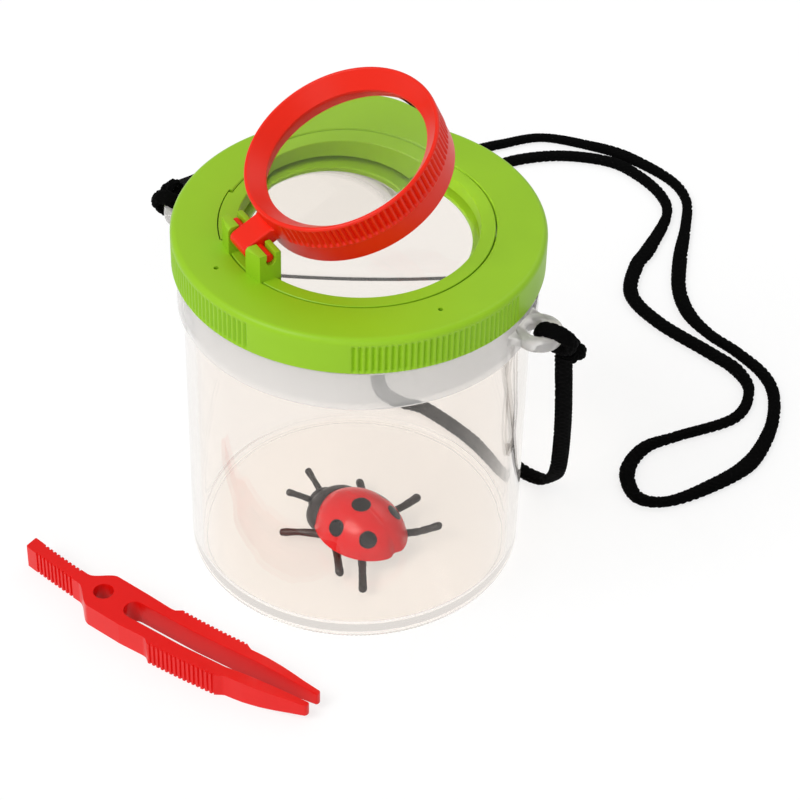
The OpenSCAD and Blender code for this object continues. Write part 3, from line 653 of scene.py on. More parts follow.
def clear_polystyrene(name, colour, haze_from):
    """Crystal polystyrene, injection moulded.

    The eye gets a hard clear gloss, slow ripples from the melt's flow, and a milky collar.
    """
    plastic = new_material(name)
    at = add(plastic, "ShaderNodeTexCoord", out="Object")
    ripple = add(
        plastic, "ShaderNodeTexNoise", {"Vector": at, "Scale": 1 / (14 * MM), "Detail": 1.0}
    )
    bump = add(
        plastic, "ShaderNodeBump", {"Height": ripple, "Strength": 0.2, "Distance": 0.15 * MM}
    )
    height = add(plastic, "ShaderNodeSeparateXYZ", {"Vector": at}, out="Z")
    hazy = add(
        plastic, "ShaderNodeMapRange",
        {"Value": height, "From Min": haze_from - 0.6 * MM, "From Max": haze_from + 0.6 * MM},
    )
    milky = add(
        plastic, "ShaderNodeMix", {"Factor": hazy, MIX_A: colour, MIX_B: linear(MILK_COLOUR)},
        out=MIX_RESULT, data_type="RGBA",
    )
    clearness = add(
        plastic, "ShaderNodeMapRange", {"Value": hazy, "To Min": 1.0, "To Max": MILK_CLEARNESS}
    )
    shader = add(
        plastic, "ShaderNodeBsdfPrincipled",
        {
            "Base Color": milky, "Roughness": 0.02, "IOR": 1.5, "Specular Tint": CLEAR_GLOSS,
            "Transmission Weight": clearness, "Normal": bump,
        },
    )
    return clear_surface(plastic, shader, colour)


def clear_acrylic(name, colour):
    """Cast acrylic with polished faces.

    The eye gets clean refraction and a sharp gloss with hardly any ripple.
    """
    plastic = new_material(name)
    at = add(plastic, "ShaderNodeTexCoord", out="Object")
    ripple = add(
        plastic, "ShaderNodeTexNoise", {"Vector": at, "Scale": 1 / (20 * MM), "Detail": 0.0}
    )
    bump = add(
        plastic, "ShaderNodeBump", {"Height": ripple, "Strength": 0.1, "Distance": 0.05 * MM}
    )
    shader = add(
        plastic, "ShaderNodeBsdfPrincipled",
        {
            "Base Color": colour, "Roughness": 0.01, "IOR": 1.49, "Specular Tint": CLEAR_GLOSS,
            "Transmission Weight": 1.0, "Normal": bump,
        },
    )
    return clear_surface(plastic, shader, colour)


def braided_yarn(name, colour):
    """Polyester yarn, braided flat.

    The eye gets a deep matt black with a trace of light on each plait.
    """
    yarn = new_material(name)
    at = add(yarn, "ShaderNodeTexCoord", out="Object")
    fibre = add(yarn, "ShaderNodeTexNoise", {"Vector": at, "Scale": 1 / (0.35 * MM), "Detail": 4.0})
    bump = add(yarn, "ShaderNodeBump", {"Height": fibre, "Strength": 0.5, "Distance": 0.08 * MM})
    shade = add(
        yarn, "ShaderNodeMix",
        {"Factor": fibre, MIX_A: relit(colour, 0.6), MIX_B: relit(colour, 1.5)},
        out=MIX_RESULT, data_type="RGBA",
    )
    shader = add(
        yarn, "ShaderNodeBsdfPrincipled",
        {"Base Color": shade, "Roughness": 0.85, "Specular IOR Level": 0.06, "Normal": bump},
    )
    add(yarn, "ShaderNodeOutputMaterial", {"Surface": shader})
    return yarn


def soft_vinyl(name, colour):
    """Soft vinyl, cast in a rubber mould.

    The eye gets a low satin sheen over small lumps.
    """
    vinyl = new_material(name)
    at = add(vinyl, "ShaderNodeTexCoord", out="Object")
    lumps = add(vinyl, "ShaderNodeTexNoise", {"Vector": at, "Scale": 1 / (1.6 * MM), "Detail": 2.0})
    bump = add(vinyl, "ShaderNodeBump", {"Height": lumps, "Strength": 0.5, "Distance": 0.15 * MM})
    shade = add(
        vinyl, "ShaderNodeMix",
        {"Factor": lumps, MIX_A: relit(colour, 0.8), MIX_B: relit(colour, 1.25)},
        out=MIX_RESULT, data_type="RGBA",
    )
    gloss = add(vinyl, "ShaderNodeMapRange", {"Value": lumps, "To Min": 0.35, "To Max": 0.5})
    shader = add(
        vinyl, "ShaderNodeBsdfPrincipled",
        {"Base Color": shade, "Roughness": gloss, "Normal": bump},
    )
    add(vinyl, "ShaderNodeOutputMaterial", {"Surface": shader})
    return vinyl


def spotted_enamel(name, colour, spot_colour, spots, to_shell):
    """Glossy paint on the toy's shell, with black spots painted on top.

    The eye gets a wet red gloss, and flat soft-edged spots.
    """
    enamel = new_material(name)
    at = add(enamel, "ShaderNodeTexCoord", out="Object")
    edge = add(enamel, "ShaderNodeTexNoise", {"Vector": at, "Scale": 1 / (1.2 * MM), "Detail": 2.0})
    mask = 0.0
    for spot_place, radius in spots:
        far = add(
            enamel, "ShaderNodeVectorMath", {0: at, 1: to_shell @ Vector(spot_place)},
            out="Value", operation="DISTANCE",
        )
        wavy = add(
            enamel, "ShaderNodeMath", {0: edge, 1: 0.5 * MM, 2: far}, operation="MULTIPLY_ADD"
        )
        spot = add(
            enamel, "ShaderNodeMapRange",
            {
                "Value": wavy, "From Min": radius + 0.18 * MM, "From Max": radius + 0.38 * MM,
                "To Min": 1.0, "To Max": 0.0,
            },
        )
        mask = add(enamel, "ShaderNodeMath", {0: mask, 1: spot}, operation="MAXIMUM")
    peel = add(enamel, "ShaderNodeTexNoise", {"Vector": at, "Scale": 1 / (2.5 * MM), "Detail": 1.0})
    bump = add(enamel, "ShaderNodeBump", {"Height": peel, "Strength": 0.3, "Distance": 0.05 * MM})
    paint = add(
        enamel, "ShaderNodeMix", {"Factor": mask, MIX_A: colour, MIX_B: spot_colour},
        out=MIX_RESULT, data_type="RGBA",
    )
    shader = add(
        enamel, "ShaderNodeBsdfPrincipled",
        {
            "Base Color": paint, "Roughness": 0.25, "IOR": 1.45, "Specular IOR Level": 0.35,
            "Normal": bump,
        },
    )
    add(enamel, "ShaderNodeOutputMaterial", {"Surface": shader})
    return enamel


# Stage

# Share of the floor's light that comes from the lamps, so that it takes the object's shadow
FLOOR_SHADED_SHARE = 0.3
# Light that reaches the floor, where 1 is white, and the share that it throws back
FLOOR_LIT = 0.9
FLOOR_BOUNCE_SHARE = 0.85
WORLD_STRENGTH = 0.5
WHITE = (1, 1, 1, 1)


def seamless_paper(colour):
    """Seamless white paper, lit evenly: plain white to the eye, with a soft shadow."""
    paper = new_material("seamless_white_paper")
    plain = add(paper, "ShaderNodeBsdfDiffuse", {"Color": relit(colour, FLOOR_BOUNCE_SHARE)})
    shaded = add(paper, "ShaderNodeBsdfDiffuse", {"Color": relit(colour, FLOOR_SHADED_SHARE)})
    glow_strength = 1 - FLOOR_LIT * FLOOR_SHADED_SHARE
    glow = add(paper, "ShaderNodeEmission", {"Color": colour, "Strength": glow_strength})
    shown = add(paper, "ShaderNodeAddShader", {0: shaded, 1: glow})
    seen = add(paper, "ShaderNodeLightPath", out="Is Camera Ray")
    for name in ("Is Glossy Ray", "Is Transmission Ray"):
        ray = add(paper, "ShaderNodeLightPath", out=name)
        seen = add(paper, "ShaderNodeMath", {0: seen, 1: ray}, operation="MAXIMUM")
    surface = add(paper, "ShaderNodeMixShader", {0: seen, 1: plain, 2: shown})
    add(paper, "ShaderNodeOutputMaterial", {"Surface": surface})
    return paper


def white_surround():
    """An even white world, dimmer for the light that it gives than for the eye."""
    world = bpy.context.scene.world or bpy.data.worlds.new("studio")
    bpy.context.scene.world = world
    world.use_nodes = True
    world.node_tree.nodes.clear()
    dim = add(world, "ShaderNodeBackground", {"Color": WHITE, "Strength": WORLD_STRENGTH})
    white = add(world, "ShaderNodeBackground", {"Color": WHITE, "Strength": 1.0})
    seen = add(world, "ShaderNodeLightPath", out="Is Camera Ray")
    surround = add(world, "ShaderNodeMixShader", {0: seen, 1: dim, 2: white})
    add(world, "ShaderNodeOutputWorld", {"Surface": surround})


CAMERA_PLACE = Vector((228.92, -425.78, 454.70)) * MM
CAMERA_AIM = Vector((13.973, -3.927, 50.0)) * MM
# Width of the camera's sensor in millimetres
SENSOR_WIDTH = 36
# Place, aim, side length and power of each soft box
SOFT_BOXES = {
    "key_soft_box": ((-0.75, -1.35, 1.85), (0, 0, 0.05), 1.2, 28.0),
    "front_soft_box": ((0.9, -1.6, 0.7), (0, 0, 0.05), 1.2, 5.0),
    "back_soft_box": ((0.3, 1.3, 1.5), (0, 0, 0.05), 1.2, 5.0),
}


def aimed(start, aim, roll=0.0):
    """The rotation of a lamp or camera that looks from one point to another."""
    turn = (Vector(start) - Vector(aim)).to_track_quat("Z", "Y").to_matrix()
    return (turn @ Matrix.Rotation(roll, 3, "Z")).to_euler()


def make_stage(s):
    """Add the camera, the floor, the world and the soft boxes."""
    bpy.ops.object.camera_add(
        location=CAMERA_PLACE, rotation=aimed(CAMERA_PLACE, CAMERA_AIM, s.roll)
    )
    camera = bpy.context.object
    camera.name = "photo_camera"
    camera.data.lens = s.lens
    camera.data.sensor_width = SENSOR_WIDTH
    camera.data.clip_start = 0.01
    camera.data.clip_end = 50
    bpy.context.scene.camera = camera

    bpy.ops.mesh.primitive_plane_add(size=s.floor_size, location=(0, 0, 0))
    floor = bpy.context.object
    floor.name = "paper_floor"
    floor.data.materials.append(seamless_paper(list(s.floor_colour)))

    for name, (start, aim, size, power) in SOFT_BOXES.items():
        bpy.ops.object.light_add(type="AREA", location=start, rotation=aimed(start, aim))
        lamp = bpy.context.object
        lamp.name = name
        lamp.data.size = size
        lamp.data.energy = power
    white_surround()
    bpy.context.scene.view_settings.view_transform = "Standard"


# Neck cord

# The cord's route from the right-hand knot to the left-hand one, in millimetres. A point without
# a height lies on the table.
CORD_ROUTE = [
    (51.8, 5, 73), (48.9, 15, 45), (44, 26.5, 18), (39.5, 32.8, 7), (35, 35.6, 2.5), (27, 38.2),
    (13, 44.8), (-3.7, 49.5), (-11.5, 48.8), (-18.7, 50.5), (-23.5, 57.5), (-24, 68.5), (-17.8, 81),
    (-12.8, 96), (-14.2, 113.5), (-20.4, 129.3), (-30, 143.7), (-36.4, 154), (-35, 161.7),
    (-23.7, 171.6), (-9.3, 176.4), (1.6, 174.2), (12, 168), (17.4, 159.4), (19.3, 141.8),
    (19.5, 132.7), (23.9, 119.8), (35.7, 112.2), (52.8, 107.1), (62.6, 103.7), (69.2, 96.8),
    (69.9, 84.5), (59.3, 70), (53.7, 61.5), (53.6, 50.8), (59.7, 43.1), (67.3, 45.2), (74.7, 55.8),
    (80.4, 69.5), (80.1, 85.2), (76, 98), (69.8, 105.6), (59.6, 111), (50.2, 114.4), (41.5, 120),
    (34.5, 129.2), (28.7, 143.5), (24.3, 157.6), (19.2, 169.8), (10.3, 177.2), (-6, 181.6),
    (-17.8, 181.2), (-32.4, 177.7), (-42.1, 167.9), (-50, 159), (-64, 151), (-80, 143),
    (-104, 118, 3), (-86, 62, 38), (-57, 7, 80),
]
# Gap between the lying cord and the table
TABLE_GAP = 0.1 * MM
# Width of the braid at some of those points, as a share of its flat width. It is full at the rest.
WIDTH_SHARES = {
    21: 0.9, 22: 0.8, 23: 0.7, 24: 1.05, 30: 0.7, 31: 0.75, 32: 0.7, 33: 0.9, 35: 0.9, 36: 0.7,
    37: 0.95, 38: 1.1, 39: 0.85, 40: 0.8, 41: 0.85, 42: 0.8, 43: 0.8, 47: 0.75, 48: 0.7, 49: 0.8,
    51: 0.85, 52: 0.7, 53: 0.8,
}
# Distance between the braid's rings along the cord, and its sides.
RING_STEP = 0.48 * MM
BRAID_SIDES = 28
# Plaits round the braid, in each of its two directions
PLAITS = 6
# Half the width and half the thickness of the braid where it is pulled round an ear
LOOP_HALF_SIZES = (1.9 * MM, 1.4 * MM)
LOOP_POINTS = 80
KNOT_POINTS = 150
# Thickness of the braid in a knot, as a share of the knot's radius
KNOT_THICKNESS_SHARE = 0.36


def braid_relief(along, sides, plait, depth):
    """How far each point of a braid's skin lies under its highest plaits."""
    around = np.arange(sides)[None] / sides
    steps = along[:, None] / plait
    left = steps + PLAITS * around
    right = steps - PLAITS * around
    over = np.mod(np.floor(left) + np.floor(right), 2) < 1
    crown = np.where(over, np.sin(np.pi * left), np.sin(np.pi * right)) ** 2
    return -depth * (1 - crown**0.6)


def walked(path):
    """The distance along a path at each of its points."""
    return np.concatenate([[0], np.cumsum(np.linalg.norm(np.diff(path, axis=0), axis=1))])


def braid(name, path, wide, s, half_w, half_t, closed=False):
    """A flat braid along a path."""
    along = walked(path)
    if closed:
        total = along[-1] + np.linalg.norm(path[0] - path[-1])
        plait = total / (2 * round(total / (2 * s.plait)))
    else:
        plait = s.plait
    relief = braid_relief(along, BRAID_SIDES, plait, s.relief)
    return sweep(name, path, wide, half_w, half_t, BRAID_SIDES, closed, relief, flatness=0.8)


def make_cord(s, cup):
    """The free cord, its loops through the ears and its two knots."""
    material = braided_yarn("black_polyester_braid", s.yarn)
    low = s.thickness / 2 + TABLE_GAP
    route = [(p[0] * MM, p[1] * MM, p[2] * MM if len(p) > 2 else low) for p in CORD_ROUTE]
    path = smooth_path(route, RING_STEP)
    path[:, 2] = np.maximum(path[:, 2], low)
    wide = row_unit(np.cross(np.gradient(path, axis=0), UP))
    nearest = [np.argmin(np.linalg.norm(path - np.array(point), axis=1)) for point in route]
    shares = [WIDTH_SHARES.get(i, 1) for i in range(len(route))]
    share = np.interp(np.arange(len(path)), nearest, shares)
    cord = braid("neck_cord_braid", path, wide, s, s.width / 2 * share, s.thickness / 2)
    finish_piece(cord, "jar", material, "neck_cord", smooth=60)

    ear_x = cup.wall_radius + cup.collar_step + cup.ear_reach
    ear_r = cup.ear_hole + cup.ear_ring
    ear_z = cup.height - cup.neck_height - cup.ear_drop
    loop_x = ear_x + ear_r - cup.ear_ring / 2
    turns = np.arange(LOOP_POINTS) * TURN / LOOP_POINTS
    lean_y, lean_z = -math.sin(s.loop_lean), math.cos(s.loop_lean)
    ring = np.stack([np.cos(turns), lean_y * np.sin(turns), lean_z * np.sin(turns)], 1) * s.loop
    across = np.tile([0.0, lean_z, -lean_y], (len(ring), 1))
    # Side, middle and lean of each knot, with the lean in degrees
    knots = {
        "right": (1, (ear_x + ear_r + 1.4 * MM, 4.5 * MM, ear_z - 5.6 * MM), 25),
        "left": (-1, (-ear_x - ear_r - 1.5 * MM, 5 * MM, ear_z + 0.4 * MM), 70),
    }
    with_cord = []
    for name, (side, middle, lean) in knots.items():
        path_round = ring + np.array([side * loop_x, 0, ear_z])
        loop = braid(
            f"cord_loop_{name}_braid", path_round, across, s, *LOOP_HALF_SIZES, closed=True
        )
        finish_piece(loop, "jar", material, f"cord_loop_{name}", smooth=60)
        knot = overhand_knot(f"cord_knot_{name}_braid", s, middle, lean)
        finish_piece(knot, "jar", material, f"cord_knot_{name}", smooth=60)
        with_cord += [loop, knot]


def overhand_knot(name, s, middle, lean):
    """A knot pulled tight: the braid crosses itself three times inside a small ball."""
    turns = np.arange(KNOT_POINTS) * TURN / KNOT_POINTS
    x = np.sin(turns) + 2 * np.sin(2 * turns)
    y = np.cos(turns) - 2 * np.cos(2 * turns)
    z = -1.5 * np.sin(3 * turns)
    half_t = KNOT_THICKNESS_SHARE * s.knot
    path = np.stack([x, y, z], 1) * (s.knot - half_t) / 3
    outward = row_unit(path + 1e-9)
    ahead = np.roll(path, -1, 0) - np.roll(path, 1, 0)
    wide = np.cross(ahead, outward)
    knot = braid(name, path, wide, s, s.knot / 2, half_t, closed=True)
    turn = Matrix.Rotation(math.radians(lean), 4, "Y") @ Matrix.Rotation(math.radians(60), 4, "X")
    place(knot, Matrix.Translation(middle) @ turn)
    return knot


# Cup

# Columns round the cup. Every second one carries a tick at the foot.
CUP_COLUMNS = 480
# An ear's web: its thickness as a share of the ear's, and its half width at the ring and how much
# that grows towards the wall, as shares of the ring's radius
WEB_THICKNESS_SHARE = 0.7
WEB_HALF_SHARE = 0.93
WEB_SPREAD_SHARE = 0.32
# Gap between the collar's top and the lowest thread ridge
THREAD_MARGIN = 0.3 * MM


def cup_outline(s):
    """Half the section of the cup, from the middle of its base to the middle of its floor."""
    base_r = s.wall_radius - s.draft
    bore_r = s.wall_radius - s.wall
    floor_r = base_r - s.wall + s.draft / 4
    neck_r = bore_r + s.neck_wall
    collar_r = s.wall_radius + s.collar_step
    top = s.height - s.neck_height
    low = top - s.collar_height
    lip = 0.4 * MM
    foot_r = base_r - s.foot_round - s.foot_width
    return (
        [(0, s.foot_hollow), (foot_r - 0.6 * MM, s.foot_hollow), (foot_r, s.foot_lift)]
        + arc(base_r - s.foot_round, s.foot_round + s.foot_lift, s.foot_round, -90, 0, 12)
        + [(s.wall_radius, low - lip)]
        + arc(s.wall_radius + lip, low - lip, lip, 180, 90, 3)[1:]
        + arc(collar_r - s.collar_round, low + s.collar_round, s.collar_round, -90, 0)
        + arc(collar_r - s.collar_round, top - s.collar_round, s.collar_round, 0, 90)
        + [(neck_r, top)]
        + arc(neck_r - lip, s.height - lip, lip, 0, 90, 4)
        + arc(bore_r + lip, s.height - lip, lip, 90, 180, 4)
        + arc(floor_r - s.well_round, s.floor + s.well_round, s.well_round, 0, -90, 8)
        + [(0, s.floor)]
    )


def ear(s):
    """One cord ear at the origin, with its web towards -X."""
    ring_r = s.ear_hole + s.ear_ring
    half = s.ear_thickness / 2
    corners = [(1, -1), (1, 1), (0, 1), (0, -1)]
    outline = []
    for i, (x, z) in enumerate(corners):
        outline += arc(
            s.ear_hole + s.ear_round + x * (s.ear_ring - 2 * s.ear_round),
            z * (half - s.ear_round), s.ear_round, i * 90 - 90, i * 90, 5,
        )
    ring = lathe("ear", outline, 96)
    into_wall = -s.ear_reach - s.wall / 2
    edge = [
        (into_wall * t, ring_r * (WEB_HALF_SHARE + WEB_SPREAD_SHARE * t**2.2))
        for t in np.linspace(0, 1, 9)
    ]
    outline = edge + [(x, -y) for x, y in reversed(edge)]
    web = slab("web", outline, -WEB_THICKNESS_SHARE * half, WEB_THICKNESS_SHARE * half)
    soften(web, 0.5 * MM, 3, 60)
    combine(web, rod("hole", s.ear_hole + 0.5 * s.ear_ring, -half, half, 96), "DIFFERENCE")
    combine(ring, web, "UNION")
    return ring


def ridge(s, root_r, crest_r, first, turn, low):
    """A thread ridge, screwed up along the thread from its section."""
    sink = 0.3 * MM * (1 if crest_r < root_r else -1)
    root = s.root_width / 2
    crest = s.crest_width / 2
    section = [(root_r + sink, -root), (crest_r, -crest), (crest_r, crest), (root_r + sink, root)]
    line = [(r * math.cos(first), r * math.sin(first), low + z) for r, z in section]
    piece = wire("thread_ridge", line, closed=True)
    steps = max(8, round(math.degrees(turn) / 2))
    apply_modifier(
        piece, "SCREW", axis="Z", angle=turn, screw_offset=s.lead * turn / TURN, steps=steps,
        render_steps=steps, use_merge_vertices=False,
    )
    tidy_mesh(piece, fill=True)
    return piece


def make_cup(s, thread):
    """The clear cup with its collar, ears and threaded neck."""
    cup = lathe("clear_cup", cup_outline(s), CUP_COLUMNS, closed=False)
    points = places(cup)
    radius = np.hypot(points[:, 0], points[:, 1])
    column = np.rint(np.arctan2(points[:, 1], points[:, 0]) / TURN * CUP_COLUMNS).astype(int)
    foot = (points[:, 2] < 0.7 * s.foot_round) & (points[:, 2] > 0.05 * s.foot_round)
    foot &= radius > s.wall_radius - s.draft - s.foot_round
    pinch(cup, foot & (column % 2 == 0), s.tick_depth / s.wall_radius)
    top = s.height - s.neck_height
    ear_at = Vector((s.wall_radius + s.collar_step + s.ear_reach, 0, top - s.ear_drop))
    for turn in (0, math.pi):
        one = ear(s)
        place(one, Matrix.Rotation(turn, 4, "Z") @ Matrix.Translation(ear_at))
        combine(cup, one, "UNION")
    neck_r = s.wall_radius - s.wall + s.neck_wall
    low = top + THREAD_MARGIN + thread.root_width / 2
    for start in (0, math.pi):
        one = ridge(thread, neck_r, neck_r + thread.depth, start, thread.cup_turn, low)
        combine(cup, one, "UNION")
    material = clear_polystyrene("clear_polystyrene", s.plastic, top - s.collar_height)
    finish_piece(cup, "jar", material, "jar_cup", smooth=35)


# Lid

# Columns round the lid, its ribbed grips, the ribs of each, and the air holes' turns in degrees
LID_COLUMNS = 1116
GRIPS = 4
GRIP_RIBS = 30
AIR_HOLE_TURNS = (0, 90, 270)


class LidPlan:
    """Radii and heights of the lid that follow from the cup and the lens."""

    def __init__(self, jar):
        cup, thread, lid, lens = jar.cup, jar.thread, jar.lid, jar.lens
        neck_r = cup.wall_radius - cup.wall + cup.neck_wall
        self.bore = neck_r + thread.depth + thread.gap
        self.radius = self.bore + lid.wall
        self.under = cup.height + lid.rim_gap
        self.top = self.under + lid.plate
        self.skirt = cup.height - cup.neck_height + lid.skirt_gap
        self.seat = lens.radius + lens.gap
        self.retainer_low = self.top - lid.retainer_height
        self.lens_low = self.retainer_low - lens.seat_gap - lens.rim
        self.ledge_top = self.lens_low - lens.seat_gap
        self.ledge_r = self.seat - lid.ledge_width
        self.retainer = self.seat - lens.gap
        self.hinge_reach = jar.magnifier.radius + jar.magnifier.hinge_gap
        self.hinge_z = self.top + jar.magnifier.hinge_rise
        self.post_inner = jar.magnifier.tab_half + jar.magnifier.tab_gap
        self.post_outer = self.post_inner + jar.magnifier.post
        self.lug_half_angle = math.asin((self.post_outer + 0.2 * MM) / self.retainer)
        collar_top = cup.height - cup.neck_height
        self.thread_low = collar_top + THREAD_MARGIN + thread.root_width / 2


def lug_block(direction, half_angle, inner, outer, low, high):
    """A sector of a ring, for the retainer's lug and the lid's notch."""
    outline = [(inner, low), (outer, low), (outer, high), (inner, high)]
    return lathe("lug", outline, 40, first=direction - half_angle, turn=2 * half_angle)


def lid_outline(s, plan):
    """The closed section of the lid, with rows for the ribs."""
    edge = 0.25 * MM
    bore, outer, skirt, top, seat = plan.bore, plan.radius, plan.skirt, plan.top, plan.seat
    ledge_r, ledge_top, ledge_low = plan.ledge_r, plan.ledge_top, plan.ledge_top - s.ledge
    tube = seat + s.seat_wall
    rib_top = top - s.top_round
    rows = [skirt + 0.6 * MM, skirt + 1.0 * MM, rib_top - 0.9 * MM, rib_top - 0.45 * MM]
    return (
        [(bore, skirt + edge), (bore + edge, skirt), (outer - edge, skirt), (outer, skirt + edge)]
        + [(outer, z) for z in rows]
        + arc(outer - s.top_round, rib_top, s.top_round, 0, 90, 8)
        + [(seat + 2 * MM, top), (seat + edge, top), (seat, top - edge), (seat, ledge_top)]
        + [(ledge_r + edge, ledge_top), (ledge_r, ledge_top - edge), (ledge_r, ledge_low + edge)]
        + [(ledge_r + edge, ledge_low), (tube - edge, ledge_low), (tube, ledge_low + edge)]
        + [(tube, plan.under), (bore, plan.under)]
    )


def make_lid(jar):
    """The green screw lid with its four ribbed grips, air holes and threads."""
    s, plan, thread = jar.lid, LidPlan(jar), jar.thread
    direction = jar.magnifier.hinge_direction
    lid = lathe("green_lid", lid_outline(s, plan), LID_COLUMNS, first=s.grip_start)
    rib_top = plan.top - s.top_round
    # Bands of rows that the grooves press in, and how deeply as a share of their depth
    rows = [
        (plan.skirt + 0.5 * MM, plan.skirt + 0.7 * MM, 0.55),
        (plan.skirt + 0.9 * MM, rib_top - 0.8 * MM, 1.0),
        (rib_top - 0.6 * MM, rib_top - 0.3 * MM, 0.55),
    ]
    for i in range(GRIPS):
        ribbed(
            lid, s.grip_start, TURN / LID_COLUMNS, i * LID_COLUMNS // GRIPS, GRIP_RIBS,
            s.grip_depth, plan.radius, rows,
        )
    for turn in AIR_HOLE_TURNS:
        hole = rod("hole", s.air_hole, plan.under - MM, plan.top + MM, 24)
        around = Matrix.Rotation(s.air_hole_turn + math.radians(turn), 4, "Z")
        place(hole, around @ Matrix.Translation((s.air_hole_reach, 0, 0)))
        combine(lid, hole, "DIFFERENCE")
    notch = lug_block(
        direction, plan.lug_half_angle + math.radians(0.6), plan.seat - MM,
        plan.retainer + s.lug_reach + jar.lens.gap, plan.top - s.lug - jar.lens.seat_gap,
        plan.top + MM,
    )
    combine(lid, notch, "DIFFERENCE")
    rise = thread.lead * thread.lid_start / TURN - thread.lead / 4
    for start in (0, math.pi):
        one = ridge(
            thread, plan.bore, plan.bore - thread.depth, thread.lid_start + start, thread.lid_turn,
            plan.thread_low + rise,
        )
        combine(lid, one, "UNION")
    material = moulded_plastic("green_polypropylene", s.plastic, 0.4)
    finish_piece(lid, "lid", material, "lid_cap", smooth=28)
    return material


def post_outline(jar, plan):
    """The side of a hinge post as (distance from the lid's middle, height) points."""
    m = jar.magnifier
    inner, outer = plan.hinge_reach - 2.6 * MM, plan.hinge_reach + 4 * MM
    top = plan.hinge_z + m.post_rise
    low = plan.retainer_low + 1.1 * MM
    bore = m.pin + 0.05 * MM
    mouth = 0.9 * m.pin
    outer_round, inner_round, lip_drop = 1.3 * MM, 0.5 * MM, 0.1 * MM
    lean = math.degrees(math.asin(math.sqrt(bore**2 - mouth**2) / bore))
    return (
        [(outer, low)]
        + arc(outer - outer_round, top - outer_round, outer_round, 0, 75, 6)
        + [(plan.hinge_reach + mouth, top - lip_drop)]
        + arc(plan.hinge_reach, plan.hinge_z, bore, lean, -180 - lean, 20)
        + [(plan.hinge_reach - mouth, top)]
        + arc(inner + inner_round, top - inner_round, inner_round, 90, 180, 4)
        + [(inner, low)]
    )


def make_retainer(jar, material):
    """The green ring over the lens, with its lug and the two hinge posts."""
    s, plan = jar.lid, LidPlan(jar)
    direction = jar.magnifier.hinge_direction
    edge = 0.15 * MM
    outline = [
        (plan.retainer - s.retainer_foot, plan.retainer_low),
        (plan.retainer, plan.retainer_low),
        (plan.retainer, plan.top - edge),
        (plan.retainer - edge, plan.top),
        (plan.retainer - s.retainer_top + edge, plan.top),
        (plan.retainer - s.retainer_top, plan.top - edge),
        (plan.retainer - s.retainer_foot, plan.retainer_low + 0.4 * MM),
    ]
    ring = lathe("green_retainer", outline, 288)
    lug = lug_block(
        direction, plan.lug_half_angle, plan.retainer - s.retainer_top / 2,
        plan.retainer + s.lug_reach, plan.top - s.lug, plan.top,
    )
    combine(ring, lug, "UNION")
    stand_up = Matrix.Rotation(direction, 4, "Z") @ Matrix.Rotation(math.pi / 2, 4, "X")
    for low, high in ((-plan.post_outer, -plan.post_inner), (plan.post_inner, plan.post_outer)):
        post = slab("post", post_outline(jar, plan), low, high)
        soften(post, 0.22 * MM, 2, 50)
        place(post, stand_up)
        limit = rod("limit", plan.retainer + s.lug_reach - 0.2 * MM, 0, plan.hinge_z + 9 * MM, 288)
        combine(post, limit, "INTERSECT")
        combine(ring, post, "UNION")
    finish_piece(ring, "lid", material, "lens_retainer", smooth=35)


# Lenses


def dome(radius, sag, rows):
    """Radius and rise of each row of a lens face, from its middle to its edge."""
    curve = (radius**2 + sag**2) / (2 * sag)
    return [
        (radius * i / rows, math.sqrt(curve**2 - (radius * i / rows) ** 2) - curve + sag)
        for i in range(rows + 1)
    ]


def make_fixed_lens(jar):
    """The clear lens in the lid, with its flat rim."""
    s, plan = jar.lens, LidPlan(jar)
    low = plan.lens_low
    high = low + s.rim
    top = [(r, high + z) for r, z in reversed(dome(s.curve_radius, s.top_sag, 20))]
    under = [(r, low - z) for r, z in dome(plan.ledge_r - s.gap, s.low_sag, 20)]
    edge = 0.2 * MM
    outline = (
        under
        + [(s.radius - edge, low), (s.radius, low + edge)]
        + [(s.radius, high - edge), (s.radius - edge, high)]
        + top
    )
    lens = lathe("fixed_lens_acrylic", outline, 240, closed=False)
    material = clear_acrylic("polished_acrylic", s.plastic)
    finish_piece(lens, "lid_lens", material, "fixed_lens", smooth=20)
    return material


# Magnifier

# Ribs that would fit round the frame, and how many of them are left out on each side of the tab
FRAME_RIBS = 96
FREE_RIBS = 5


def hinge_frame(jar, plan):
    """The place of the hinge: +X runs from the pin to the frame's middle, +Y along the pin."""
    m = jar.magnifier
    return (
        Matrix.Rotation(m.hinge_direction + math.pi, 4, "Z")
        @ Matrix.Translation((-plan.hinge_reach, 0, plan.hinge_z))
        @ Matrix.Rotation(-m.open_angle, 4, "Y")
    )


def glass_height(m, lens):
    """Height of the lens's middle above the hinge."""
    return m.rise - m.flare_height - m.lens_lip - lens.seat_gap - lens.glass_edge / 2


